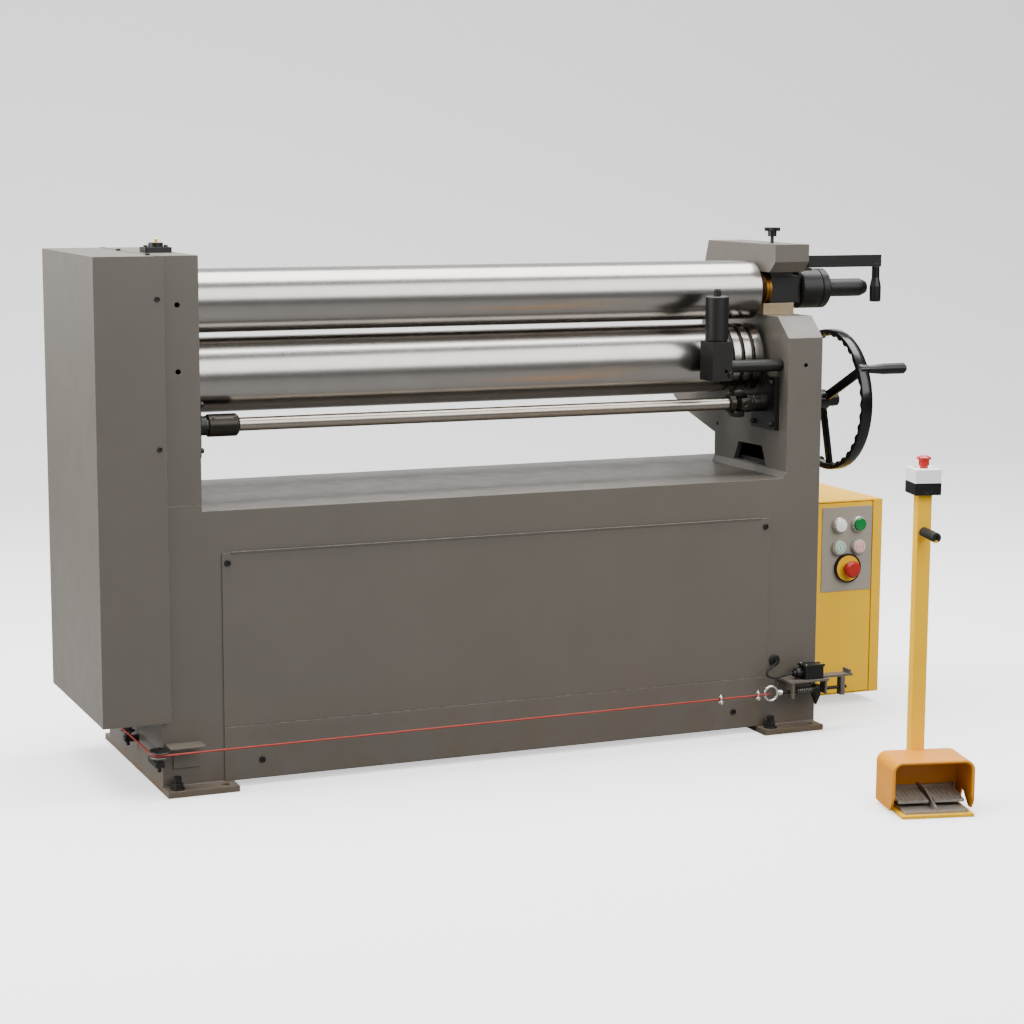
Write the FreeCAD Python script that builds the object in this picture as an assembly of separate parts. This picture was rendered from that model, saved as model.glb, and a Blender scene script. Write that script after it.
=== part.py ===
import FreeCAD, Part
import math
import os

# Powered slip roll: a welded base with two side frames carries a fixed top roll, a lower
# pinch roll that a handwheel lifts, and a rear bending roll on inclined slides.  The gear
# train stands in a sheet cover at the left; a cabinet, a pull-wire stop and a separate
# foot-switch pedestal control the drive.  Millimetres; +X runs along the rolls to the
# handwheel side, -Y faces the operator, +Z is up, and the origin lies on the floor midway
# between the four open anchor holes.

V = FreeCAD.Vector
AXIS_X = V(1, 0, 0)
AXIS_Y = V(0, 1, 0)
AXIS_Z = V(0, 0, 1)

# ---- running and seating clearances
RUN = 0.05
SEAT = 0.3
SLIDE = 1.0

# ---- base and feet
ANCHOR_PITCH_X = 1367.0
ANCHOR_PITCH_Y = 494.0
ANCHOR_R = 9.0
FOOT_BOLT_PITCH = 100.0
FOOT_MARGIN_X = 24.5
FOOT_MARGIN_Y = 21.0
FOOT_T = 12.5
BASE_DEPTH = 452.0
BED_TOP = 572.5
BASE_WALL = 10.0
PAD_H = 14.0
PANEL_T = 2.5
PANEL_BOTTOM = 14.2
PANEL_TOP = 485.9
PANEL_INSET_LEFT = 129.3
PANEL_INSET_RIGHT = 127.6
PANEL_LAP = 27.0
PANEL_BEND_Z = 126.0

# ---- side frames
LEFT_FRAME_W = 90.0
RIGHT_FRAME_W = 86.0
FRAME_WALL = 12.0
LEFT_FRAME_TOP = 1083.4
LEFT_FRAME_BACK = 214.0
RIGHT_FRAME_SHOULDER = 884.0
RIGHT_FRAME_TOP = 929.0
RIGHT_FRAME_CHAMFER = 51.0
RIGHT_FRAME_HEEL_TOP = 952.0
RIGHT_FRAME_HEEL_FRONT = 60.0
RIGHT_FRAME_HEEL_BACK = 184.0
FRAME_WAIST_Y = 111.0
FRAME_WAIST_Z = 640.0
FLARE_KNEE_Y = 249.0
FLARE_KNEE_Z = 675.0
FLARE_BACK = 325.0
FLARE_BOTTOM = 706.0
FLARE_TOP = 800.0
FLARE_ROOT_Z = 855.0

# ---- rolls
ROLL_Y = -66.0
TOP_Z = 984.0
TOP_R = 66.0
LOWER_R = 77.5
REAR_R = 66.0
ROLL_GAP = 8.5
ROLL_CLEAR_LEFT = 4.0
ROLL_CLEAR_RIGHT = 14.0
TOP_JOURNAL_R = 25.0
TOP_DRIVE_R = 30.0
LOWER_JOURNAL_R = 32.0
REAR_JOURNAL_R = 22.0
REAR_REST_Y = 119.0
REAR_REST_Z = 802.0
REAR_PATH_DEG = 120.0
WIRE_GROOVE_R = 5.0
WIRE_GROOVE_FIRST = 27.0
WIRE_GROOVE_PITCH = 26.0
WIRE_GROOVES = 3
LIFT_DOWN = 6.0
LIFT_UP = 8.0
REAR_TRAVEL = 90.0

# ---- bearings of the top roll's open end
BUSH_R = 33.0
BUSH_T = 15.0
BLOCK_SIDE = 60.0
BLOCK_LEN = 77.0
BLOCK_OFFSET = 25.0
HOUSING_R = 45.0
HOUSING_LEN = 75.0
HOUSING_GROOVE_AT = 52.0
TAIL_R = 20.5
TAIL_LEN = 111.0
TAIL_CHAMFER = 15.0
LEFT_SLEEVE_R = 48.0

# ---- swing-away head block
HEAD_FRONT_Y = -158.0
HEAD_NOSE_Z = 1048.5
HEAD_TOP = 1087.5
HEAD_BOTTOM = 1025.0
HEAD_CHAMFER_Y = 24.0
HEAD_BACK_TOP_Y = 157.0
HEAD_BACK_LOW_Y = 173.0
HEAD_BACK_LOW_Z = 1041.0
HINGE_Y = 145.0
HINGE_Z = 1000.0
HINGE_R = 45.0
HINGE_PIN_R = 15.0
TONGUE_W = 40.0
KNOB_R = 18.5
KNOB_STEM_R = 4.0
LEVER_PIVOT_Y = -110.0
LEVER_PIVOT_OUT = 15.0
LEVER_REACH = 190.0
LEVER_BAR_H = 27.0
LEVER_BAR_T = 8.0
LEVER_BAR_Z = 1033.0
LEVER_GRIP_R = 13.0
LEVER_GRIP_LEN = 80.0

# ---- lift of the lower roll: handwheel, cross shaft and screw jacks
SHAFT_R = 14.0
SHAFT_Y = -137.5
SHAFT_Z = 735.0
JACK_HALF_H = 30.0
JACK_SCREW_R = 15.0
BLOCK_HALF = 45.0
BLOCK_HALF_H = 50.0
GIB_T = 16.0
PLATE_T = 12.0
PLATE_FRONT = -189.0
PLATE_BACK = -84.5
PLATE_BOTTOM = 676.0
PLATE_TOP = 795.0
WHEEL_R = 160.0
WHEEL_GAP = 64.0
WHEEL_RIM_W = 27.0
WHEEL_RIM_T = 15.0
WHEEL_SPOKE_DEG = 149.0
GRIP_R = 12.0
GRIP_LEN = 96.0

# ---- feed of the rear roll
REAR_BLOCK_HALF = 38.0
REAR_BLOCK_HALF_H = 30.0
REAR_SCREW_R = 11.0
REAR_JACK_H = 40.0
REAR_SHAFT_OFFSET = 66.0
SCREW_ENGAGED = 15.0
REAR_HANDWHEEL_R = 95.0

# ---- gear train
ROLL_MODULE = 7.757
TOP_TEETH = 17
LOWER_TEETH = 20
TRAIN_MODULE = 5.0
DRIVEN_TEETH = 36
IDLER_TEETH = 70
PINION_TEETH = 20
ROLL_GEAR_W = 40.0
TRAIN_GEAR_W = 35.0
ROLL_GEAR_OUT = 10.0
TRAIN_GEAR_OUT = 64.0
IDLER_SHIFT_Y = 60.0
IDLER_AXLE_R = 25.0
PINION_SHAFT_R = 17.5

# ---- gear cover
COVER_OUT = 123.5
COVER_LAP = 16.0
COVER_STANDOFF = 13.6
COVER_BOTTOM = 148.0
COVER_WALL = 2.0
COVER_BACK = 217.6

# ---- cone bending device
CONE_BAR_R = 14.0
CONE_BAR_Y = -191.0
CONE_BAR_Z = 823.0
CONE_CLAMP_X = 48.0
CONE_CLAMP_Y = 60.0
CONE_CLAMP_Z = 86.0
CONE_CLAMP_FROM_FRAME = 138.0
CONE_POST_R = 25.5
CONE_POST_H = 98.0

# ---- electrical cabinet on the right of the base
CAB_W = 268.0
CAB_FRONT = -66.0
CAB_DEPTH = 280.0
CAB_BOTTOM = 25.0
CAB_TOP = 486.0
CAB_WALL = 2.0
CAB_STRIP = 25.0
DOOR_GAP = 2.5
DOOR_CLEAR = 4.0
PIVOT_R = 2.0
PLATE_LEFT = 105.0
CONTROL_W = 134.0
CONTROL_H = 199.0
CONTROL_BOTTOM = 273.5
LAMP_ROW_Z = 431.3
BUTTON_ROW_Z = 378.6
ESTOP_Z = 328.3
COLUMN_ONE = 149.5
COLUMN_TWO = 201.2
ESTOP_COLUMN = 172.4
ESTOP_DISC_R = 34.0

# ---- pull-wire stop
WIRE_R = 2.0
WIRE_FRONT_Y = -276.0
WIRE_SIDE_X = -839.0
WIRE_Z = 92.0
EYE_Z = 98.0
EYE_X = 566.7
EYE_R = 16.0
EYE_WIRE_R = 3.0
CORNER_GROOVE_R = 13.0
SIDE_GROOVE_R = 8.5
PULLEY_FLANGE = 6.5
SIDE_PULLEY_Y = -23.0
ROD_R = 4.0
SWITCH_SHELF_Z = 118.0
TRIP_TRAVEL = 10.0

# ---- lead from the base to the limit switch
LEAD_R = 2.5
LEAD_ROUTE = [(601.3, -231.0, 161.0), (601.3, -243.0, 161.0), (592.0, -251.0, 158.5),
              (579.0, -256.0, 154.0), (567.0, -259.0, 146.0), (563.0, -261.0, 137.5),
              (571.0, -263.0, 131.0), (584.0, -264.5, 129.5), (598.0, -265.5, 131.0),
              (615.0, -266.0, 136.5), (628.0, -266.0, 136.5)]
GROMMET_R = 13.0

# ---- foot-switch pedestal
PED_X = 547.0
PED_Y = -976.6
PED_TURN = -14.0
PED_PLATE_W = 147.0
PED_PLATE_D = 164.0
PED_PLATE_T = 6.0
POST_W = 28.0
POST_TOP = 622.0
PEG_Z = 546.0
HOOD_W = 170.0
HOOD_H = 99.0
HOOD_FRONT = 33.0
HOOD_DEPTH = 101.0
HOOD_WALL = 4.0
HOOD_LIP = 6.0
BOX_W = 54.0
BOX_D = 60.0
BOX_LOWER_H = 24.0
BOX_UPPER_H = 28.0
PEDAL_W = 62.0
PEDAL_HINGE_Y = 122.0
PEDAL_HINGE_Z = 31.0

# ---- derived places
BASE_LEFT = -ANCHOR_PITCH_X / 2 - FOOT_BOLT_PITCH - FOOT_MARGIN_X
BASE_RIGHT = ANCHOR_PITCH_X / 2 + FOOT_MARGIN_X
BASE_FRONT = -BASE_DEPTH / 2
BASE_BACK = BASE_DEPTH / 2
FOOT_W = FOOT_BOLT_PITCH + 2 * FOOT_MARGIN_X
FOOT_HALF_D = ANCHOR_PITCH_Y / 2 + FOOT_MARGIN_Y
FRAME_BOTTOM = BED_TOP + PAD_H
LEFT_INNER = BASE_LEFT + LEFT_FRAME_W
RIGHT_INNER = BASE_RIGHT - RIGHT_FRAME_W
LOWER_Z = TOP_Z - TOP_R - ROLL_GAP - LOWER_R
ROLL_LEFT = LEFT_INNER + ROLL_CLEAR_LEFT
ROLL_RIGHT = RIGHT_INNER - ROLL_CLEAR_RIGHT
CAVITIES = [(BASE_LEFT + FRAME_WALL, LEFT_INNER - FRAME_WALL),
            (RIGHT_INNER + FRAME_WALL, BASE_RIGHT - FRAME_WALL)]
PATH_Y = math.cos(math.radians(REAR_PATH_DEG))
PATH_Z = math.sin(math.radians(REAR_PATH_DEG))
HEAD_MID_X = (RIGHT_INNER + BASE_RIGHT) / 2
HOUSING_X = RIGHT_INNER + BLOCK_OFFSET + BLOCK_LEN
TAIL_X = HOUSING_X + HOUSING_LEN
WHEEL_X = BASE_RIGHT + WHEEL_GAP + WHEEL_RIM_W / 2


def box(x0, x1, y0, y1, z0, z1):
    return Part.makeBox(x1 - x0, y1 - y0, z1 - z0, V(x0, y0, z0))


def rod_x(x0, x1, y, z, r):
    return Part.makeCylinder(r, x1 - x0, V(x0, y, z), AXIS_X)


def rod_y(y0, y1, x, z, r):
    return Part.makeCylinder(r, y1 - y0, V(x, y0, z), AXIS_Y)


def rod_z(z0, z1, x, y, r):
    return Part.makeCylinder(r, z1 - z0, V(x, y, z0), AXIS_Z)


def prism_x(outline, x0, x1):
    """Solid between x0 and x1 with an outline of (y, z) points."""
    points = [V(x0, y, z) for y, z in outline]
    face = Part.Face(Part.makePolygon(points + points[:1]))
    return face.extrude(V(x1 - x0, 0, 0))


def prism_y(outline, y0, y1):
    """Solid between y0 and y1 with an outline of (x, z) points."""
    points = [V(x, y0, z) for x, z in outline]
    face = Part.Face(Part.makePolygon(points + points[:1]))
    return face.extrude(V(0, y1 - y0, 0))


def prism_z(outline, z0, z1):
    """Solid between z0 and z1 with an outline of (x, y) points."""
    points = [V(x, y, z0) for x, y in outline]
    face = Part.Face(Part.makePolygon(points + points[:1]))
    return face.extrude(V(0, 0, z1 - z0))


def turned(profile, origin, axis):
    """Solid of revolution from (along, radius) points that start and end on the axis."""
    points = [V(radius, 0, along) for along, radius in profile]
    face = Part.Face(Part.makePolygon(points + points[:1]))
    solid = face.revolve(V(0, 0, 0), AXIS_Z, 360)
    solid.Placement = FreeCAD.Placement(origin, FreeCAD.Rotation(AXIS_Z, axis))
    return solid


def fuse(first, *others):
    return first.multiFuse(list(others)).removeSplitter()


def group(*shapes):
    solids = []
    for shape in shapes:
        solids += shape.Solids
    return Part.makeCompound(solids)


def on_path(along, across):
    """(y, z) of a point on the rear roll's slide: along the travel, and square to it."""
    return (REAR_REST_Y + along * PATH_Y + across * PATH_Z,
            REAR_REST_Z + along * PATH_Z - across * PATH_Y)


def path_prism(x0, x1, along0, along1, across0, across1):
    corners = [(along0, across0), (along1, across0), (along1, across1), (along0, across1)]
    return prism_x([on_path(*corner) for corner in corners], x0, x1)


# ---------------------------------------------------------------- gears
PRESSURE = math.radians(20)


def involute(angle):
    return math.tan(angle) - angle


def tooth_half_angle(teeth, module, radius, play):
    pitch_r = module * teeth / 2
    base_r = pitch_r * math.cos(PRESSURE)
    at_pitch = math.pi / (2 * teeth) - play / (2 * pitch_r)
    if radius <= base_r:
        return at_pitch + involute(PRESSURE)
    return at_pitch + involute(PRESSURE) - involute(math.acos(base_r / radius))


def gear_outline(teeth, module, turn, play=0.3, tip=1.0, root=1.25):
    """Points of a gear with one tooth centred at the angle turn, in degrees."""
    pitch_r = module * teeth / 2
    tip_r = pitch_r + tip * module
    root_r = pitch_r - root * module
    outline = []
    for number in range(teeth):
        centre = math.radians(turn + 360.0 * number / teeth)
        at_root = tooth_half_angle(teeth, module, root_r, play)
        at_tip = tooth_half_angle(teeth, module, tip_r, play)
        for radius, offset in ((root_r, -at_root), (tip_r, -at_tip),
                               (tip_r, at_tip), (root_r, at_root)):
            angle = centre + offset
            outline.append((radius * math.cos(angle), radius * math.sin(angle)))
    return outline


def gear_x(teeth, module, turn, x0, x1, y, z, bore_r):
    outline = [(y + a, z + b) for a, b in gear_outline(teeth, module, turn)]
    return prism_x(outline, x0, x1).cut(rod_x(x0 - 1, x1 + 1, y, z, bore_r))


def next_turn(turn, teeth, direction, next_teeth):
    """Tooth angle of a gear in mesh with another that lies at the angle direction from it."""
    offset = (direction - turn) % (360.0 / teeth)
    return direction + 180 + (offset * teeth + 180.0) / next_teeth


def lightening_holes(count, circle_r, hole_r, x0, x1, y, z):
    holes = []
    for number in range(count):
        angle = 2 * math.pi * number / count
        holes.append(rod_x(x0 - 1, x1 + 1, y + circle_r * math.cos(angle),
                           z + circle_r * math.sin(angle), hole_r))
    return holes


# ---------------------------------------------------------------- base and frames
FOOT_CENTRES = [BASE_LEFT + FOOT_W / 2, BASE_RIGHT - FOOT_W / 2]


def foot_plates():
    plates = []
    for centre in FOOT_CENTRES:
        plate = box(centre - FOOT_W / 2, centre + FOOT_W / 2, -FOOT_HALF_D, FOOT_HALF_D, 0, FOOT_T)
        for side_x in (-1, 1):
            for side_y in (-1, 1):
                plate = plate.cut(rod_z(-1, FOOT_T + 1, centre + side_x * FOOT_BOLT_PITCH / 2,
                                        side_y * ANCHOR_PITCH_Y / 2, ANCHOR_R))
        plates.append(plate)
    return group(*plates)


def levelling_bolts():
    """Stud, nut and washer in the left hole of each foot, at the front and the back."""
    stud_r = ANCHOR_R - 1
    washer_r = 15.0
    nut_h = 10.0
    bolts = []
    for centre in FOOT_CENTRES:
        for side_y in (-1, 1):
            x = centre - FOOT_BOLT_PITCH / 2
            y = side_y * (ANCHOR_PITCH_Y / 2)
            corners = [(x + 12 * math.cos(math.radians(a)), y + 12 * math.sin(math.radians(a)))
                       for a in range(0, 360, 60)]
            bolts.append(fuse(rod_z(0, FOOT_T + 26, x, y, stud_r),
                              rod_z(FOOT_T, FOOT_T + 2.5, x, y, washer_r),
                              prism_z(corners, FOOT_T + 2.5, FOOT_T + 2.5 + nut_h)))
    return group(*bolts)


def panel_sides():
    return BASE_LEFT + PANEL_INSET_LEFT, BASE_RIGHT - PANEL_INSET_RIGHT


def base_frame():
    """Welded box with a front opening, and a pad for each side frame."""
    body = box(BASE_LEFT, BASE_RIGHT, BASE_FRONT, BASE_BACK, FOOT_T, BED_TOP)
    hollow = box(BASE_LEFT + BASE_WALL, BASE_RIGHT - BASE_WALL, BASE_FRONT + BASE_WALL,
                 BASE_BACK - BASE_WALL, FOOT_T + BASE_WALL, BED_TOP - BASE_WALL)
    left, right = panel_sides()
    opening = box(left + PANEL_LAP, right - PANEL_LAP, BASE_FRONT - 1, BASE_FRONT + BASE_WALL + 1,
                  PANEL_BOTTOM + PANEL_LAP, PANEL_TOP - PANEL_LAP)
    left_pad = box(BASE_LEFT, LEFT_INNER, BASE_FRONT, FRAME_WAIST_Y, BED_TOP, FRAME_BOTTOM)
    flange = 6.0
    right_pad = prism_y([(RIGHT_INNER - flange, BED_TOP), (BASE_RIGHT, BED_TOP),
                         (BASE_RIGHT, FRAME_BOTTOM), (RIGHT_INNER, FRAME_BOTTOM)],
                        BASE_FRONT, FRAME_WAIST_Y)
    _, pinion_y, pinion_z, _ = train_places()[2]
    shaft_hole = rod_x(BASE_LEFT - 1, BASE_LEFT + BASE_WALL + 1, pinion_y, pinion_z,
                       PINION_SHAFT_R + 8)
    grommet_hole = rod_y(BASE_FRONT - 1, BASE_FRONT + BASE_WALL + 1, LEAD_ROUTE[0][0],
                         LEAD_ROUTE[0][2], GROMMET_R - 4)
    return fuse(body.cut(hollow).cut(opening), left_pad, right_pad).cut(shaft_hole).cut(grommet_hole)


def front_panel():
    """Removable front cover with a shallow bend line across its lower part."""
    left, right = panel_sides()
    sheet = box(left, right, BASE_FRONT - PANEL_T, BASE_FRONT, PANEL_BOTTOM, PANEL_TOP)
    line = box(left - 1, right + 1, BASE_FRONT - PANEL_T - 1, BASE_FRONT - PANEL_T + 0.6,
               PANEL_BEND_Z - 0.6, PANEL_BEND_Z + 0.6)
    return sheet.cut(line)


def frame_outline(top_points):
    """Outline of a side frame: the given top, from front to back, over the common rear."""
    return ([(FRAME_WAIST_Y, FRAME_WAIST_Z), (FRAME_WAIST_Y, FRAME_BOTTOM),
             (BASE_FRONT, FRAME_BOTTOM)] + top_points +
            [(FLARE_BACK, FLARE_TOP), (FLARE_BACK, FLARE_BOTTOM), (FLARE_KNEE_Y, FLARE_KNEE_Z)])


def inset(outline, distance):
    """The outline moved inwards by a wall thickness."""
    points = [V(0, y, z) for y, z in outline]
    wire = Part.Wire(Part.makePolygon(points + points[:1]))
    smaller = wire.makeOffset2D(-distance, 2)
    if Part.Face(smaller).Area > Part.Face(wire).Area:
        smaller = wire.makeOffset2D(distance, 2)
    return smaller


def hollow_frame(outline, x0, x1):
    """Two side plates joined by a wall all round, hollow between."""
    inner = Part.Face(inset(outline, FRAME_WALL))
    inner.translate(V(x0 + FRAME_WALL, 0, 0))
    return prism_x(outline, x0, x1).cut(inner.extrude(V(x1 - x0 - 2 * FRAME_WALL, 0, 0)))


def lower_slot(x0, x1):
    """Upright slot that lets the lower roll's journal rise and fall."""
    r = LOWER_JOURNAL_R + 3
    low = LOWER_Z - LIFT_DOWN
    high = LOWER_Z + LIFT_UP
    return fuse(rod_x(x0, x1, ROLL_Y, low, r), rod_x(x0, x1, ROLL_Y, high, r),
                box(x0, x1, ROLL_Y - r, ROLL_Y + r, low, high))


def rear_slot(x0, x1):
    """Inclined slot for the rear roll's journal."""
    r = REAR_JOURNAL_R + 3
    y1, z1 = on_path(REAR_TRAVEL, 0)
    return fuse(rod_x(x0, x1, REAR_REST_Y, REAR_REST_Z, r), rod_x(x0, x1, y1, z1, r),
                path_prism(x0, x1, 0, REAR_TRAVEL, -r, r))


def jack_top():
    """Height along the slide of the rear jacks' upper face."""
    return -(REAR_BLOCK_HALF_H + 3)


def worm_places():
    """(y, z) of the front cross shaft and of the rear feed shaft."""
    return (SHAFT_Y, SHAFT_Z), on_path(jack_top() - REAR_JACK_H / 2, REAR_SHAFT_OFFSET)


def gibs():
    """Guide bars in both frames for the lower roll's blocks and the rear roll's blocks."""
    bars = []
    for x0, x1 in CAVITIES:
        for side in (-1, 1):
            inner = side * (BLOCK_HALF + SEAT)
            outer = side * (BLOCK_HALF + SEAT + GIB_T)
            y0, y1 = sorted((ROLL_Y + inner, ROLL_Y + outer))
            bars.append(box(x0, x1, y0, y1, LOWER_Z - BLOCK_HALF_H - 8, LOWER_Z + BLOCK_HALF_H + 10))
            low, high = sorted((side * (REAR_BLOCK_HALF + SEAT), side * (REAR_BLOCK_HALF + SEAT + 12)))
            bars.append(path_prism(x0, x1, -REAR_BLOCK_HALF_H, REAR_TRAVEL + 6, low, high))
    return group(*bars)


def screw_jacks():
    """Closed worm boxes that hold the jack nuts, one pair for each moving roll."""
    jacks = []
    _, (rear_y, rear_z) = worm_places()
    top = jack_top()
    for x0, x1 in CAVITIES:
        mid = (x0 + x1) / 2
        front = box(x0, x1, SHAFT_Y - SHAFT_R - 12, ROLL_Y + BLOCK_HALF, SHAFT_Z - JACK_HALF_H,
                    SHAFT_Z + JACK_HALF_H)
        screw = rod_z(SHAFT_Z - JACK_HALF_H - 1, SHAFT_Z + JACK_HALF_H + 1, mid, ROLL_Y,
                      JACK_SCREW_R + RUN)
        jacks.append(front.cut(screw).cut(rod_x(x0 - 1, x1 + 1, SHAFT_Y, SHAFT_Z, SHAFT_R + RUN)))
        rear = path_prism(x0, x1, top - REAR_JACK_H, top, -28, REAR_SHAFT_OFFSET + SHAFT_R + 9)
        screw = screw_on_path(mid, top - REAR_JACK_H - 1, top + 1, REAR_SCREW_R + RUN)
        shaft = rod_x(x0 - 1, x1 + 1, rear_y, rear_z, SHAFT_R + RUN)
        jacks.append(rear.cut(screw).cut(shaft))
    return group(*jacks)


def screw_on_path(x, along0, along1, r):
    y, z = on_path(along0, 0)
    return Part.makeCylinder(r, along1 - along0, V(x, y, z), V(0, PATH_Y, PATH_Z))


def left_frame():
    top = [(BASE_FRONT, LEFT_FRAME_TOP), (LEFT_FRAME_BACK, LEFT_FRAME_TOP),
           (LEFT_FRAME_BACK, FLARE_ROOT_Z - 12)]
    body = hollow_frame(frame_outline(top), BASE_LEFT, LEFT_INNER)
    (shaft_y, shaft_z), (rear_y, rear_z) = worm_places()
    inner = LEFT_INNER - FRAME_WALL - 1
    for tool in (rod_x(BASE_LEFT - 1, LEFT_INNER + 1, ROLL_Y, TOP_Z, LEFT_SLEEVE_R + 0.1),
                 lower_slot(BASE_LEFT - 1, LEFT_INNER + 1),
                 rear_slot(inner, LEFT_INNER + 1),
                 rod_x(inner, LEFT_INNER + 1, shaft_y, shaft_z, SHAFT_R + 2),
                 rod_x(inner, LEFT_INNER + 1, rear_y, rear_z, SHAFT_R + RUN)):
        body = body.cut(tool)
    holes = [rod_y(BASE_FRONT - 1, BASE_FRONT + FRAME_WALL + 1, BASE_LEFT + 46, z, 5.5)
             for z in (986.4, 854.2)]
    _, idler_y, idler_z, _ = train_places()[1]
    return fuse(body.cut(Part.makeCompound(holes)), idler_axle(idler_y, idler_z))


def idler_axle(y, z):
    """Stub axle on the frame's outer side, with a collar behind the idler and a washer before."""
    return fuse(rod_x(TRAIN_X0 - 6, BASE_LEFT, y, z, IDLER_AXLE_R),
                rod_x(TRAIN_X1 + SEAT, BASE_LEFT, y, z, IDLER_AXLE_R + 4),
                rod_x(TRAIN_X0 - 6, TRAIN_X0 - SEAT, y, z, IDLER_AXLE_R + 8))


def right_frame():
    top = [(BASE_FRONT, RIGHT_FRAME_SHOULDER),
           (BASE_FRONT + RIGHT_FRAME_CHAMFER, RIGHT_FRAME_TOP),
           (RIGHT_FRAME_HEEL_FRONT - 40, RIGHT_FRAME_TOP),
           (RIGHT_FRAME_HEEL_FRONT, RIGHT_FRAME_HEEL_TOP),
           (RIGHT_FRAME_HEEL_BACK, RIGHT_FRAME_HEEL_TOP),
           (RIGHT_FRAME_HEEL_BACK, FLARE_ROOT_Z)]
    body = hollow_frame(frame_outline(top), RIGHT_INNER, BASE_RIGHT)
    tongue = fuse(box(HEAD_MID_X - TONGUE_W / 2, HEAD_MID_X + TONGUE_W / 2, HINGE_Y - HINGE_R,
                      HINGE_Y + RIGHT_FRAME_HEEL_BACK - HINGE_Y, RIGHT_FRAME_HEEL_TOP, HINGE_Z),
                  rod_x(HEAD_MID_X - TONGUE_W / 2, HEAD_MID_X + TONGUE_W / 2, HINGE_Y, HINGE_Z,
                        HINGE_R))
    socket = rod_x(RIGHT_INNER, BASE_RIGHT - FRAME_WALL, CONE_BAR_Y, CONE_BAR_Z, CONE_BAR_R + 7)
    body = fuse(body, tongue, socket)
    (shaft_y, shaft_z), (rear_y, rear_z) = worm_places()
    inner = RIGHT_INNER + FRAME_WALL + 1
    window = [(-6.0, 631.0), (-114.0, 633.0), (-134.0, 589.5), (16.0, 589.5)]
    tools = [rod_x(HEAD_MID_X - TONGUE_W, HEAD_MID_X + TONGUE_W, HINGE_Y, HINGE_Z, HINGE_PIN_R),
             rod_x(RIGHT_INNER - 1, BASE_RIGHT - FRAME_WALL - 6, CONE_BAR_Y, CONE_BAR_Z,
                   CONE_BAR_R + RUN),
             lower_slot(RIGHT_INNER - 1, inner),
             rear_slot(RIGHT_INNER - 1, inner),
             rod_x(RIGHT_INNER - 1, inner, shaft_y, shaft_z, SHAFT_R + 2),
             rod_x(BASE_RIGHT - FRAME_WALL - 1, BASE_RIGHT + 1, shaft_y, shaft_z, SHAFT_R + RUN),
             rod_x(RIGHT_INNER - 1, BASE_RIGHT + 1, rear_y, rear_z, SHAFT_R + RUN),
             prism_x(window, RIGHT_INNER - 1, inner),
             rod_x(RIGHT_INNER - 1, inner, 99.0, 662.0, 4.0),
             rod_y(BASE_FRONT - 1, CONE_BAR_Y - CONE_BAR_R, BASE_RIGHT - 41, CONE_BAR_Z, 5.0)]
    for tool in tools:
        body = body.cut(tool)
    return body


# ---------------------------------------------------------------- rolls and their bearings
def top_roll():
    """Polished barrel, with the drive end at the left and the lifting tail at the right."""
    gear_left = BASE_LEFT - TRAIN_GEAR_OUT - TRAIN_GEAR_W - 8
    chamfer = TAIL_R - 6
    profile = [(gear_left, 0), (gear_left, TOP_DRIVE_R), (ROLL_LEFT, TOP_DRIVE_R),
               (ROLL_LEFT, TOP_R - 2), (ROLL_LEFT + 2, TOP_R), (ROLL_RIGHT - 2, TOP_R),
               (ROLL_RIGHT, TOP_R - 2), (ROLL_RIGHT, TOP_JOURNAL_R), (TAIL_X, TOP_JOURNAL_R),
               (TAIL_X, 0)]
    tail = [(TAIL_X, 0), (TAIL_X, TAIL_R), (TAIL_X + TAIL_LEN - TAIL_CHAMFER, TAIL_R),
            (TAIL_X + TAIL_LEN, chamfer), (TAIL_X + TAIL_LEN, 0)]
    origin = V(0, ROLL_Y, TOP_Z)
    return fuse(turned(profile, origin, AXIS_X), turned(tail, origin, AXIS_X))


def lower_roll():
    """Pinch roll with round-bottomed grooves for wire at its right end."""
    block_end = CAVITIES[1][1] - SLIDE - 4
    gear_end = BASE_LEFT - ROLL_GEAR_OUT - ROLL_GEAR_W - 2
    profile = [(gear_end, 0), (gear_end, LOWER_JOURNAL_R), (ROLL_LEFT, LOWER_JOURNAL_R),
               (ROLL_LEFT, LOWER_R - 2), (ROLL_LEFT + 2, LOWER_R), (ROLL_RIGHT - 2, LOWER_R),
               (ROLL_RIGHT, LOWER_R - 2), (ROLL_RIGHT, LOWER_JOURNAL_R),
               (block_end, LOWER_JOURNAL_R), (block_end, 0)]
    roll = turned(profile, V(0, ROLL_Y, LOWER_Z), AXIS_X)
    for number in range(WIRE_GROOVES):
        x = ROLL_RIGHT - WIRE_GROOVE_FIRST - number * WIRE_GROOVE_PITCH
        roll = roll.cut(Part.makeTorus(LOWER_R, WIRE_GROOVE_R, V(x, ROLL_Y, LOWER_Z), AXIS_X))
    return roll


def rear_roll():
    left = CAVITIES[0][0] + SLIDE + 4
    right = CAVITIES[1][1] - SLIDE - 4
    profile = [(left, 0), (left, REAR_JOURNAL_R), (ROLL_LEFT, REAR_JOURNAL_R),
               (ROLL_LEFT, REAR_R - 2), (ROLL_LEFT + 2, REAR_R), (ROLL_RIGHT - 2, REAR_R),
               (ROLL_RIGHT, REAR_R - 2), (ROLL_RIGHT, REAR_JOURNAL_R), (right, REAR_JOURNAL_R),
               (right, 0)]
    return turned(profile, V(0, REAR_REST_Y, REAR_REST_Z), AXIS_X)


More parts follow.
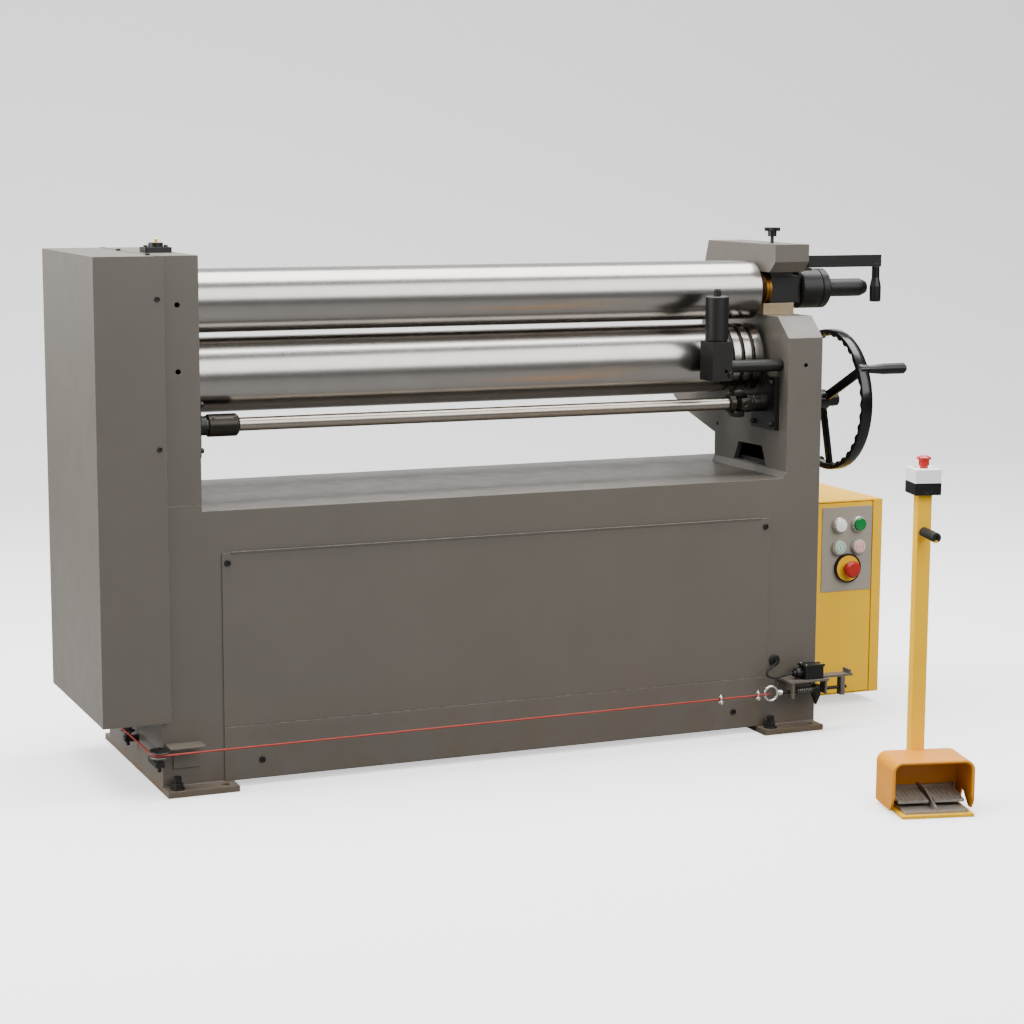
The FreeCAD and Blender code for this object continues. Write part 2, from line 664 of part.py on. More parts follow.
def lower_bearing_blocks():
    """Sliding blocks with the jack screws that carry them."""
    blocks = []
    for x0, x1 in CAVITIES:
        mid = (x0 + x1) / 2
        body = box(x0 + SLIDE, x1 - SLIDE, ROLL_Y - BLOCK_HALF, ROLL_Y + BLOCK_HALF,
                   LOWER_Z - BLOCK_HALF_H, LOWER_Z + BLOCK_HALF_H)
        screw = rod_z(SHAFT_Z - JACK_HALF_H - LIFT_UP - 6, LOWER_Z - BLOCK_HALF_H, mid, ROLL_Y,
                      JACK_SCREW_R)
        bore = rod_x(x0, x1, ROLL_Y, LOWER_Z, LOWER_JOURNAL_R + RUN)
        blocks.append(fuse(body, screw).cut(bore))
    return group(*blocks)


def rear_bearing_blocks():
    blocks = []
    screw_end = jack_top() - REAR_TRAVEL - SCREW_ENGAGED
    for x0, x1 in CAVITIES:
        mid = (x0 + x1) / 2
        body = path_prism(x0 + SLIDE, x1 - SLIDE, -REAR_BLOCK_HALF_H, REAR_BLOCK_HALF_H,
                          -REAR_BLOCK_HALF, REAR_BLOCK_HALF)
        screw = screw_on_path(mid, screw_end, -REAR_BLOCK_HALF_H, REAR_SCREW_R)
        bore = rod_x(x0, x1, REAR_REST_Y, REAR_REST_Z, REAR_JOURNAL_R + RUN)
        blocks.append(fuse(body, screw).cut(bore))
    return group(*blocks)


def roll_bushes():
    """Bronze bushes of the top roll: a sleeve in the left frame and a ring at the open end."""
    sleeve = rod_x(BASE_LEFT, LEFT_INNER, ROLL_Y, TOP_Z, LEFT_SLEEVE_R)
    sleeve = sleeve.cut(rod_x(BASE_LEFT - 1, LEFT_INNER + 1, ROLL_Y, TOP_Z, TOP_DRIVE_R + RUN))
    x1 = RIGHT_INNER + BLOCK_OFFSET
    ring = rod_x(x1 - BUSH_T, x1, ROLL_Y, TOP_Z, BUSH_R)
    return group(sleeve, ring.cut(rod_x(x1 - BUSH_T - 1, x1 + 1, ROLL_Y, TOP_Z,
                                        TOP_JOURNAL_R + RUN)))


def top_bearing_block():
    """Square block round the open journal, on its saddle."""
    x0 = RIGHT_INNER + BLOCK_OFFSET
    half = BLOCK_SIDE / 2
    block = box(x0, x0 + BLOCK_LEN, ROLL_Y - half, ROLL_Y + half, TOP_Z - half, TOP_Z + half)
    saddle = box(RIGHT_INNER + 4, BASE_RIGHT - 4, ROLL_Y - half - 6, ROLL_Y + half + 6,
                 RIGHT_FRAME_TOP, TOP_Z - half)
    bore = rod_x(x0 - 1, x0 + BLOCK_LEN + 1, ROLL_Y, TOP_Z, TOP_JOURNAL_R + RUN)
    bush_seat = rod_x(x0 - BUSH_T, x0, ROLL_Y, TOP_Z, BUSH_R)
    return fuse(block, saddle).cut(bore).cut(bush_seat)


def bearing_housing():
    """Round end housing of the top roll's open bearing, with a retaining-ring groove."""
    edge = 4.0
    groove = HOUSING_X + HOUSING_GROOVE_AT
    profile = [(HOUSING_X, 0), (HOUSING_X, HOUSING_R - edge), (HOUSING_X + edge, HOUSING_R),
               (groove, HOUSING_R), (groove, HOUSING_R - 2.5), (groove + 3, HOUSING_R - 2.5),
               (groove + 3, HOUSING_R), (TAIL_X - edge, HOUSING_R), (TAIL_X, HOUSING_R - edge),
               (TAIL_X, 0)]
    body = turned(profile, V(0, ROLL_Y, TOP_Z), AXIS_X)
    return body.cut(rod_x(HOUSING_X - 1, TAIL_X + 1, ROLL_Y, TOP_Z, TOP_JOURNAL_R + RUN))


def bearing_cap():
    """Flanged oil cap with a grease nipple, over the top roll's left bearing."""
    x = (BASE_LEFT + LEFT_INNER) / 2 + 2
    flange = box(x - 29, x + 29, ROLL_Y - 22, ROLL_Y + 22, LEFT_FRAME_TOP, LEFT_FRAME_TOP + 11)
    flange = flange.makeFillet(6, [e for e in flange.Edges if abs(e.Length - 11) < 0.01])
    bolts = [rod_z(LEFT_FRAME_TOP + 11, LEFT_FRAME_TOP + 15, x + side * 21, ROLL_Y, 4.5)
             for side in (-1, 1)]
    cap = rod_z(LEFT_FRAME_TOP + 11, LEFT_FRAME_TOP + 20, x, ROLL_Y, 15)
    profile = [(0, 0), (0, 4.5), (3, 4.5), (3, 3), (5, 3), (7, 3.6), (9, 2), (9, 0)]
    nipple = turned(profile, V(x, ROLL_Y, LEFT_FRAME_TOP + 20), AXIS_Z)
    return fuse(flange, cap, nipple, *bolts)


# ---------------------------------------------------------------- head block
def head_block():
    """Latch arm that swings back off the top bearing, forked round the frame's tongue."""
    outline = [(HEAD_FRONT_Y, HEAD_TOP), (HEAD_FRONT_Y, HEAD_NOSE_Z),
               (HEAD_FRONT_Y + HEAD_CHAMFER_Y, HEAD_BOTTOM), (HINGE_Y - HINGE_R, HEAD_BOTTOM),
               (HINGE_Y - HINGE_R, HINGE_Z), (HINGE_Y + HINGE_R, HINGE_Z),
               (HEAD_BACK_LOW_Y, HEAD_BACK_LOW_Z), (HEAD_BACK_TOP_Y, HEAD_TOP)]
    body = fuse(prism_x(outline, RIGHT_INNER, BASE_RIGHT),
                rod_x(RIGHT_INNER, BASE_RIGHT, HINGE_Y, HINGE_Z, HINGE_R))
    half = TONGUE_W / 2 + 0.5
    slot = box(HEAD_MID_X - half, HEAD_MID_X + half, HINGE_Y - HINGE_R - 6, HINGE_Y + HINGE_R + 20,
               HINGE_Z - HINGE_R - 1, HINGE_Z + HINGE_R + 4)
    pin = rod_x(RIGHT_INNER - 1, BASE_RIGHT + 1, HINGE_Y, HINGE_Z, HINGE_PIN_R + RUN)
    block_top = TOP_Z + BLOCK_SIDE / 2
    shoe = box(RIGHT_INNER + BLOCK_OFFSET + 2, BASE_RIGHT - 2, ROLL_Y - 24, ROLL_Y + 24,
               block_top + SEAT, HEAD_BOTTOM)
    lug = box(BASE_RIGHT, BASE_RIGHT + LEVER_PIVOT_OUT + 13, LEVER_PIVOT_Y - 14, LEVER_PIVOT_Y + 14,
              LEVER_BAR_Z - 6 - SEAT, LEVER_BAR_Z - SEAT)
    stud = rod_z(LEVER_BAR_Z - SEAT, LEVER_BAR_Z + LEVER_BAR_H + 1, BASE_RIGHT + LEVER_PIVOT_OUT,
                 LEVER_PIVOT_Y, 6)
    knob_hole = rod_z(HEAD_TOP - 22, HEAD_TOP + 1, HEAD_MID_X, ROLL_Y, KNOB_STEM_R + RUN)
    return fuse(body.cut(slot).cut(pin).cut(knob_hole), shoe, lug, stud)


def hinge_pin():
    pin = rod_x(RIGHT_INNER, BASE_RIGHT, HINGE_Y, HINGE_Z, HINGE_PIN_R)
    heads = [rod_x(RIGHT_INNER - 4, RIGHT_INNER - SEAT, HINGE_Y, HINGE_Z, HINGE_PIN_R + 5),
             rod_x(BASE_RIGHT + SEAT, BASE_RIGHT + 4, HINGE_Y, HINGE_Z, HINGE_PIN_R + 5)]
    ends = rod_x(RIGHT_INNER - 4, BASE_RIGHT + 4, HINGE_Y, HINGE_Z, HINGE_PIN_R)
    return fuse(pin, ends, *heads)


def star_knob():
    """Lobed knob on a threaded stem."""
    lobes = 6
    outline = []
    for number in range(lobes * 4):
        angle = 2 * math.pi * number / (lobes * 4)
        radius = KNOB_R if number % 4 < 2 else KNOB_R - 4
        outline.append((HEAD_MID_X + radius * math.cos(angle), ROLL_Y + radius * math.sin(angle)))
    low = HEAD_TOP - 20
    return fuse(prism_z(outline, HEAD_TOP + 27, HEAD_TOP + 35),
                rod_z(HEAD_TOP + 15, HEAD_TOP + 27, HEAD_MID_X, ROLL_Y, 10),
                rod_z(low, HEAD_TOP + 15, HEAD_MID_X, ROLL_Y, KNOB_STEM_R))


def lever_places():
    pivot_x = BASE_RIGHT + LEVER_PIVOT_OUT
    return pivot_x, pivot_x + LEVER_REACH


def lock_lever():
    """Flat bar with a turned hub at the head block and a stud for the hanging grip."""
    pivot_x, grip_x = lever_places()
    top = LEVER_BAR_Z + LEVER_BAR_H
    bar = box(pivot_x, grip_x + 12, LEVER_PIVOT_Y - LEVER_BAR_T / 2, LEVER_PIVOT_Y + LEVER_BAR_T / 2,
              LEVER_BAR_Z, top)
    hub = rod_z(LEVER_BAR_Z, top, pivot_x, LEVER_PIVOT_Y, 12)
    pad = rod_z(LEVER_BAR_Z, LEVER_BAR_Z + 6, grip_x, LEVER_PIVOT_Y, 9)
    stud = rod_z(LEVER_BAR_Z - LEVER_GRIP_LEN + 6, LEVER_BAR_Z, grip_x, LEVER_PIVOT_Y, 5)
    eye = rod_z(LEVER_BAR_Z - 1, top + 1, pivot_x, LEVER_PIVOT_Y, 6 + RUN)
    return fuse(bar, hub, pad, stud).cut(eye)


def lever_grip():
    """Slim-necked plastic grip that turns on the lever's stud."""
    _, grip_x = lever_places()
    length = LEVER_GRIP_LEN
    profile = [(0, 0), (0, LEVER_GRIP_R - 2), (3, LEVER_GRIP_R), (length - 45, LEVER_GRIP_R),
               (length - 25, 9), (length - SEAT, 9), (length - SEAT, 0)]
    body = turned(profile, V(grip_x, LEVER_PIVOT_Y, LEVER_BAR_Z - length), AXIS_Z)
    return body.cut(rod_z(LEVER_BAR_Z - length + 5, LEVER_BAR_Z, grip_x, LEVER_PIVOT_Y, 5 + RUN))


# ---------------------------------------------------------------- lift of the lower roll
def bearing_plates():
    """Bolted cover plates with the cross shaft's bushes and their cap screws."""
    plates = []
    for x0, x1, boss0, boss1, head0, head1 in (
            (LEFT_INNER, LEFT_INNER + PLATE_T, LEFT_INNER, LEFT_INNER + 34,
             LEFT_INNER + PLATE_T, LEFT_INNER + PLATE_T + 7),
            (RIGHT_INNER - PLATE_T, RIGHT_INNER, RIGHT_INNER - 26, RIGHT_INNER,
             RIGHT_INNER - PLATE_T - 7, RIGHT_INNER - PLATE_T)):
        plate = box(x0, x1, PLATE_FRONT, PLATE_BACK, PLATE_BOTTOM, PLATE_TOP)
        boss = rod_x(boss0, boss1, SHAFT_Y, SHAFT_Z, SHAFT_R + 6)
        bore = rod_x(x0 - 40, x1 + 40, SHAFT_Y, SHAFT_Z, SHAFT_R + RUN)
        heads = [rod_x(head0, head1, y, z, 5)
                 for y, z in ((PLATE_FRONT + 13, PLATE_BOTTOM + 13),
                              (PLATE_FRONT + 13, PLATE_TOP - 13),
                              (PLATE_BACK - 13, PLATE_BOTTOM + 13))]
        notch = rod_x(x0 - 1, x1 + 1, ROLL_Y, LOWER_Z, LOWER_R + LIFT_DOWN + 3)
        plates.append(fuse(plate.cut(notch), boss, *heads).cut(bore))
    return group(*plates)


COUPLING_X = LEFT_INNER + 38
COUPLING_LEN = 55.0
JOINT_X0 = RIGHT_INNER - 110
JOINT_X1 = RIGHT_INNER - 26


def cross_shaft():
    """Stub through each frame's jack, and the long shaft between the couplings."""
    split = COUPLING_X + COUPLING_LEN / 2
    ends = [(CAVITIES[0][0] + 2, split - 1), (split + 1, JOINT_X0 + 20),
            (JOINT_X1 - 20, WHEEL_X + WHEEL_RIM_W / 2)]
    return group(*[rod_x(x0, x1, SHAFT_Y, SHAFT_Z, SHAFT_R) for x0, x1 in ends])


def shaft_coupling():
    """Clamping sleeve with two set-screw holes and a chamfered end."""
    x0 = COUPLING_X
    x1 = COUPLING_X + COUPLING_LEN
    r = 23.5
    profile = [(x0, 0), (x0, r), (x1 - 5, r), (x1, r - 5), (x1, 0)]
    body = turned(profile, V(0, SHAFT_Y, SHAFT_Z), AXIS_X)
    body = body.cut(rod_x(x0 - 1, x1 + 1, SHAFT_Y, SHAFT_Z, SHAFT_R + RUN))
    tilt = math.radians(50)
    for x in (x0 + 9, x1 - 9):
        body = body.cut(Part.makeCylinder(3, r + 2, V(x, SHAFT_Y, SHAFT_Z),
                                          V(0, -math.cos(tilt), math.sin(tilt))))
    return body


def yoke(x_hub, x_end, upright):
    """Half of the universal joint: a bored hub with two ears towards the cross."""
    sign = 1 if x_end > x_hub else -1
    hub0, hub1 = sorted((x_hub, x_hub + sign * 30))
    ear0, ear1 = sorted((x_hub + sign * 25, x_end))
    hub = rod_x(hub0, hub1, SHAFT_Y, SHAFT_Z, 21)
    ears = rod_x(ear0, ear1, SHAFT_Y, SHAFT_Z, 24)
    wide = 30
    if upright:
        gap = box(ear0 - 1, ear1 + 1, SHAFT_Y - wide, SHAFT_Y + wide, SHAFT_Z - 13, SHAFT_Z + 13)
        sides = box(ear0, ear1, SHAFT_Y - 12, SHAFT_Y + 12, SHAFT_Z - wide, SHAFT_Z + wide)
    else:
        gap = box(ear0 - 1, ear1 + 1, SHAFT_Y - 13, SHAFT_Y + 13, SHAFT_Z - wide, SHAFT_Z + wide)
        sides = box(ear0, ear1, SHAFT_Y - wide, SHAFT_Y + wide, SHAFT_Z - 12, SHAFT_Z + 12)
    bore = rod_x(hub0 - 1, hub1 + 1, SHAFT_Y, SHAFT_Z, SHAFT_R + RUN)
    return fuse(hub.cut(bore), ears.common(sides).cut(gap))


def universal_joint():
    """Two yokes at right angles on a cross with four trunnions."""
    middle = (JOINT_X0 + JOINT_X1) / 2
    left = yoke(JOINT_X0, middle + 9, True)
    right = yoke(JOINT_X1, middle - 9, False)
    core = box(middle - 9, middle + 9, SHAFT_Y - 11, SHAFT_Y + 11, SHAFT_Z - 11, SHAFT_Z + 11)
    trunnions = [rod_z(SHAFT_Z - 25, SHAFT_Z + 25, middle, SHAFT_Y, 5),
                 rod_y(SHAFT_Y - 25, SHAFT_Y + 25, middle, SHAFT_Z, 5)]
    cross = fuse(core, *trunnions)
    return group(left.cut(trunnions[0]), right.cut(trunnions[1]), cross)


def shaft_couplings():
    return group(shaft_coupling(), universal_joint())


def handwheel(x, y, z, r, bore_x0, start):
    """Dished cast wheel: scalloped rim, three flat spokes and a long hub."""
    w = WHEEL_RIM_W * min(1.0, r / 130.0)
    t = WHEEL_RIM_T * min(1.0, r / 130.0)
    edge = t / 4
    profile = [(x - w / 2, r - t + 2), (x - w / 2, r - edge), (x - w / 2 + edge, r),
               (x + w / 2 - edge, r), (x + w / 2, r - edge), (x + w / 2, r - t)]
    points = [V(radius, 0, along) for along, radius in profile]
    face = Part.Face(Part.makePolygon(points + points[:1]))
    rim = face.revolve(V(0, 0, 0), AXIS_Z, 360)
    rim.Placement = FreeCAD.Placement(V(0, y, z), FreeCAD.Rotation(AXIS_Z, AXIS_X))
    hub = rod_x(bore_x0, x + w / 2, y, z, SHAFT_R + 10)
    spokes = []
    for number in range(3):
        angle = math.radians(start + 120 * number)
        spoke = box(x - w * 0.28, x + w * 0.28, 4, r - t / 2 - 1, -13, 13)
        spoke.rotate(V(0, 0, 0), AXIS_X, math.degrees(angle))
        spoke.translate(V(0, y, z))
        spokes.append(spoke)
    wheel = fuse(rim, hub, *spokes)
    notches = []
    count = 24
    for number in range(count):
        angle = math.radians(start + 360.0 * (number + 0.5) / count)
        if min(abs((math.degrees(angle) - start) % 120), 120 - (math.degrees(angle) - start) % 120) < 9:
            continue
        notches.append(rod_x(x - w / 2 - 1, x + w / 2 + 1, y + (r - t - 5) * math.cos(angle),
                             z + (r - t - 5) * math.sin(angle), 9))
    wheel = wheel.cut(Part.makeCompound(notches))
    return wheel.cut(rod_x(bore_x0 - 1, x + w, y, z, SHAFT_R + RUN))


def grip_place():
    """(y, z) of the grip on the big handwheel's rim."""
    angle = math.radians(WHEEL_SPOKE_DEG)
    reach = WHEEL_R - WHEEL_RIM_T / 2
    return SHAFT_Y + reach * math.cos(angle), SHAFT_Z + reach * math.sin(angle)


def main_handwheel():
    wheel = handwheel(WHEEL_X, SHAFT_Y, SHAFT_Z, WHEEL_R, BASE_RIGHT + 6, WHEEL_SPOKE_DEG)
    y, z = grip_place()
    face = WHEEL_X + WHEEL_RIM_W / 2
    boss = rod_x(WHEEL_X - 8, face + 2, y, z, 11)
    return fuse(wheel, boss, rod_x(face, face + GRIP_LEN - 8, y, z, 5))


def handwheel_grip():
    """Turned grip that runs on the stud of the big handwheel."""
    y, z = grip_place()
    x0 = WHEEL_X + WHEEL_RIM_W / 2 + 2 + SEAT
    profile = [(x0, 0), (x0, 8.5), (x0 + 35, GRIP_R), (x0 + GRIP_LEN - 6, GRIP_R + 0.5),
               (x0 + GRIP_LEN, GRIP_R - 4), (x0 + GRIP_LEN, 0)]
    body = turned(profile, V(0, y, z), AXIS_X)
    return body.cut(rod_x(x0 - 1, WHEEL_X + WHEEL_RIM_W / 2 + GRIP_LEN - 7, y, z, 5 + RUN))


# ---------------------------------------------------------------- feed of the rear roll
def rear_feed_shaft():
    """Shaft across the back through both rear jacks, with its own small handwheel."""
    _, (y, z) = worm_places()
    shaft = rod_x(CAVITIES[0][0] + 2, BASE_RIGHT + 50, y, z, SHAFT_R)
    x = BASE_RIGHT + 38
    wheel = handwheel(x, y, z, REAR_HANDWHEEL_R, BASE_RIGHT + 6, 90)
    grip = rod_x(x, x + 62, y, z + REAR_HANDWHEEL_R - 8, 8)
    return group(shaft, fuse(wheel, grip))


# ---------------------------------------------------------------- drive
def train_places():
    """(teeth, y, z, tooth angle) of the driven gear, the idler and the pinion."""
    first = (DRIVEN_TEETH + IDLER_TEETH) * TRAIN_MODULE / 2
    drop = math.sqrt(first ** 2 - IDLER_SHIFT_Y ** 2)
    idler_y = ROLL_Y + IDLER_SHIFT_Y
    idler_z = TOP_Z - drop
    down = math.degrees(math.atan2(-drop, IDLER_SHIFT_Y))
    idler_turn = next_turn(down, DRIVEN_TEETH, down, IDLER_TEETH)
    pinion_z = idler_z - (IDLER_TEETH + PINION_TEETH) * TRAIN_MODULE / 2
    pinion_turn = next_turn(idler_turn, IDLER_TEETH, -90, PINION_TEETH)
    return [(DRIVEN_TEETH, ROLL_Y, TOP_Z, down), (IDLER_TEETH, idler_y, idler_z, idler_turn),
            (PINION_TEETH, idler_y, pinion_z, pinion_turn)]


TRAIN_X0 = BASE_LEFT - TRAIN_GEAR_OUT - TRAIN_GEAR_W
TRAIN_X1 = BASE_LEFT - TRAIN_GEAR_OUT
ROLL_GEAR_X0 = BASE_LEFT - ROLL_GEAR_OUT - ROLL_GEAR_W
ROLL_GEAR_X1 = BASE_LEFT - ROLL_GEAR_OUT


def top_roll_gears():
    """Driven gear and roll gear on the top roll's drive end."""
    teeth, y, z, turn = train_places()[0]
    driven = gear_x(teeth, TRAIN_MODULE, turn, TRAIN_X0, TRAIN_X1, y, z, TOP_DRIVE_R + RUN)
    roll = gear_x(TOP_TEETH, ROLL_MODULE, -90, ROLL_GEAR_X0, ROLL_GEAR_X1, y, z, TOP_DRIVE_R + RUN)
    return group(driven, roll)


def lower_roll_gear():
    turn = next_turn(-90, TOP_TEETH, -90, LOWER_TEETH)
    return gear_x(LOWER_TEETH, ROLL_MODULE, turn, ROLL_GEAR_X0, ROLL_GEAR_X1, ROLL_Y, LOWER_Z,
                  LOWER_JOURNAL_R + RUN)


def idler_gear():
    teeth, y, z, turn = train_places()[1]
    gear = gear_x(teeth, TRAIN_MODULE, turn, TRAIN_X0, TRAIN_X1, y, z, IDLER_AXLE_R + RUN)
    return gear.cut(Part.makeCompound(lightening_holes(6, 105, 32, TRAIN_X0, TRAIN_X1, y, z)))


def drive_pinion():
    """Pinion on the gearbox's output shaft."""
    teeth, y, z, turn = train_places()[2]
    gear = gear_x(teeth, TRAIN_MODULE, turn, TRAIN_X0, TRAIN_X1, y, z, PINION_SHAFT_R - 1)
    return fuse(gear, rod_x(TRAIN_X0, BASE_LEFT + BASE_WALL + 20, y, z, PINION_SHAFT_R))


def geared_motor():
    """Worm gearbox flanged to the inside of the base's left wall, with its ribbed motor."""
    _, y, z, _ = train_places()[2]
    x0 = BASE_LEFT + BASE_WALL
    case = box(x0, x0 + 120, y - 80, y + 80, z - 78, z + 54)
    case = case.makeFillet(12, [e for e in case.Edges if abs(e.Length - 120) < 0.01])
    axis_z = z - 12
    flange = rod_x(x0 + 120, x0 + 140, y, axis_z, 62)
    gearbox = fuse(case, flange).cut(rod_x(x0 - 1, x0 + 26, y, z, PINION_SHAFT_R + RUN))
    x0 += 140
    profile = [(x0, 0), (x0, 60), (x0 + 12, 60), (x0 + 12, 52)]
    for number in range(8):
        x = x0 + 24 + number * 16
        profile += [(x, 52), (x, 64), (x + 8, 64), (x + 8, 52)]
    profile += [(x0 + 160, 52), (x0 + 160, 66), (x0 + 205, 66), (x0 + 212, 56), (x0 + 212, 0)]
    body = turned(profile, V(0, y, axis_z), AXIS_X)
    terminal = box(x0 + 50, x0 + 110, y - 88, y - 60, axis_z - 35, axis_z + 35)
    return fuse(gearbox, body, terminal)


def gear_cover():
    """Folded sheet cover, open towards the frame, whose front lip laps over the frame."""
    x0 = BASE_LEFT - COVER_OUT
    y0 = BASE_FRONT - COVER_STANDOFF
    w = COVER_WALL
    shell = box(x0, BASE_LEFT, y0, COVER_BACK, COVER_BOTTOM, LEFT_FRAME_TOP)
    inside = box(x0 + w, BASE_LEFT + 1, y0 + w, COVER_BACK - w, COVER_BOTTOM + w,
                 LEFT_FRAME_TOP - w)
    lip = box(BASE_LEFT, BASE_LEFT + COVER_LAP, y0, y0 + w, COVER_BOTTOM, LEFT_FRAME_TOP)
    spacers = [box(BASE_LEFT, BASE_LEFT + COVER_LAP - 3, y0 + w, BASE_FRONT - SEAT, z, z + 30)
               for z in (985.0, 690.0)]
    return fuse(shell.cut(inside), lip, *spacers)


# ---------------------------------------------------------------- cone bending device
def clamp_x():
    right = RIGHT_INNER - CONE_CLAMP_FROM_FRAME
    return right - CONE_CLAMP_X, right


def cone_arm():
    """Round bar with a pinch-slot clamp block and the stop roller's axle."""
    x0, x1 = clamp_x()
    bar = rod_x(x0 + 6, BASE_RIGHT - FRAME_WALL - 8, CONE_BAR_Y, CONE_BAR_Z, CONE_BAR_R)
    z0 = CONE_BAR_Z - 29
    block = box(x0, x1, CONE_BAR_Y - CONE_CLAMP_Y / 2, CONE_BAR_Y + CONE_CLAMP_Y / 2, z0,
                z0 + CONE_CLAMP_Z)
    slit = box(x0 - 1, x1 + 1, CONE_BAR_Y - 1.5, CONE_BAR_Y + 1.5, z0 - 1,
               CONE_BAR_Z - CONE_BAR_R + 1)
    screw = rod_y(CONE_BAR_Y - CONE_CLAMP_Y / 2 - 1, CONE_BAR_Y - CONE_CLAMP_Y / 2 + 9, x0 + 33,
                  CONE_BAR_Z - 8, 4.5)
    mid = (x0 + x1) / 2
    axle = rod_z(z0 + CONE_CLAMP_Z, z0 + CONE_CLAMP_Z + CONE_POST_H + 1, mid, CONE_BAR_Y, 8)
    cap = rod_z(z0 + CONE_CLAMP_Z + CONE_POST_H + 1, z0 + CONE_CLAMP_Z + CONE_POST_H + 13, mid,
                CONE_BAR_Y, 8)
    return fuse(block.cut(slit).cut(screw), bar, axle, cap)


def cone_roller():
    """Upright stop roller that the small edge of a cone runs against."""
    x0, x1 = clamp_x()
    mid = (x0 + x1) / 2
    z0 = CONE_BAR_Z - 29 + CONE_CLAMP_Z + SEAT
    edge = 2.0
    profile = [(0, 0), (0, CONE_POST_R - edge), (edge, CONE_POST_R),
               (CONE_POST_H - edge, CONE_POST_R), (CONE_POST_H, CONE_POST_R - edge),
               (CONE_POST_H, 0)]
    roller = turned(profile, V(mid, CONE_BAR_Y, z0), AXIS_Z)
    return roller.cut(rod_z(z0 - 1, z0 + CONE_POST_H + 1, mid, CONE_BAR_Y, 8 + RUN))


# ---------------------------------------------------------------- electrical cabinet
def cabinet():
    """Sheet cabinet hung on the base's right side, with a fixed strip beside its door."""
    x0 = BASE_RIGHT
    x1 = BASE_RIGHT + CAB_W
    y0 = CAB_FRONT
    y1 = CAB_FRONT + CAB_DEPTH
    w = CAB_WALL
    shell = box(x0, x1, y0, y1, CAB_BOTTOM, CAB_TOP)
    inside = box(x0 + w, x1 - w, y0 - 1, y1 - w, CAB_BOTTOM + w, CAB_TOP - w)
    strip = box(x1 - CAB_STRIP, x1, y0 - 1.5, y0 + w, CAB_BOTTOM, CAB_TOP)
    left_strip = box(x0, x0 + 8, y0 - 1.5, y0 + w, CAB_BOTTOM, CAB_TOP)
    rail = box(x0 + 40, x1 - 40, y1 - w - 12, y1 - w, 200, 235)
    x, y = door_pivot()
    pivots = [rod_z(CAB_TOP - DOOR_CLEAR - 5, CAB_TOP - w, x, y, PIVOT_R),
              rod_z(CAB_BOTTOM + w, CAB_BOTTOM + DOOR_CLEAR + 5, x, y, PIVOT_R)]
    return fuse(shell.cut(inside), strip, left_strip, rail, *pivots)


def door_x():
    return BASE_RIGHT + 8 + DOOR_GAP, BASE_RIGHT + CAB_W - CAB_STRIP - DOOR_GAP


def door_pivot():
    """(x, y) of the door's pivot pins, inside its right edge."""
    return door_x()[1] - 4.5, CAB_FRONT + 2.5


def cabinet_door():
    """Pan-shaped door with a folded return all round and holes for the controls."""
    x0, x1 = door_x()
    y0 = CAB_FRONT - 1.5
    w = CAB_WALL
    z0 = CAB_BOTTOM + DOOR_CLEAR
    z1 = CAB_TOP - DOOR_CLEAR
    pan = box(x0, x1, y0, y0 + 14, z0, z1)
    inside = box(x0 + w, x1 - w, y0 + w, y0 + 15, z0 + w, z1 - w)
    door = pan.cut(inside)
    pivot_x, pivot_y = door_pivot()
    door = door.cut(rod_z(z0 - 1, z1 + 1, pivot_x, pivot_y, PIVOT_R + RUN))
    for x, z, r in control_places():
        door = door.cut(rod_y(y0 - 1, y0 + w + 1, x, z, r))
    return door


def control_places():
    """(x, z, hole radius) of the two lamps, the two buttons and the stop button."""
    left = BASE_RIGHT + COLUMN_ONE
    right = BASE_RIGHT + COLUMN_TWO
    return [(left, LAMP_ROW_Z, 11.2), (right, LAMP_ROW_Z, 11.2), (left, BUTTON_ROW_Z, 11.2),
            (right, BUTTON_ROW_Z, 11.2), (BASE_RIGHT + ESTOP_COLUMN, ESTOP_Z, 11.2)]


PLATE_Y = CAB_FRONT - 1.5


def control_plate():
    """Plate behind the controls, with a bezel ring round each and the stop button's disc."""
    x0 = BASE_RIGHT + PLATE_LEFT
    plate = box(x0, x0 + CONTROL_W, PLATE_Y - 2, PLATE_Y, CONTROL_BOTTOM, CONTROL_BOTTOM + CONTROL_H)
    pieces = []
    for x, z, r in control_places():
        pieces.append(rod_y(PLATE_Y - 7, PLATE_Y - 2, x, z, r + 3.8))
    x, z, _ = control_places()[4]
    pieces.append(rod_y(PLATE_Y - 9.5, PLATE_Y - 2, x, z, ESTOP_DISC_R))
    rim = rod_y(PLATE_Y - 11, PLATE_Y - 9.5, x, z, ESTOP_DISC_R)
    pieces.append(rim.cut(rod_y(PLATE_Y - 12, PLATE_Y - 9, x, z, ESTOP_DISC_R - 3.5)))
    body = fuse(plate, *pieces)
    for x, z, r in control_places():
        body = body.cut(rod_y(PLATE_Y - 12, PLATE_Y + 1, x, z, r))
    return body


def pilot_lamps():
    profile = [(0, 0), (0, 1), (24, 1), (28, 0.65), (29, 0)]
    lamps = []
    for x, z, r in control_places()[:2]:
        outline = [(along, share * (r - 0.2)) for along, share in profile]
        lamps.append(turned(outline, V(x, PLATE_Y + 14, z), V(0, -1, 0)))
    return group(*lamps)


def push_button(index):
    """Flush button cap on its plunger."""
    x, z, r = control_places()[index]
    return fuse(rod_y(PLATE_Y - 9, PLATE_Y - 3, x, z, r - 0.3), rod_y(PLATE_Y - 3, PLATE_Y + 16, x, z, 6))


def mushroom(origin, axis, shank_r):
    """Palm button: plunger, neck and domed head."""
    profile = [(0, 0), (0, 8), (10, 8), (10, shank_r), (28, shank_r), (28, 15), (36, 15),
               (39, 20), (43, 20), (47, 14), (48, 0)]
    return turned(profile, origin, axis)


def panel_stop():
    x, z, r = control_places()[4]
    return mushroom(V(x, PLATE_Y + 12, z), V(0, -1, 0), r - SEAT)


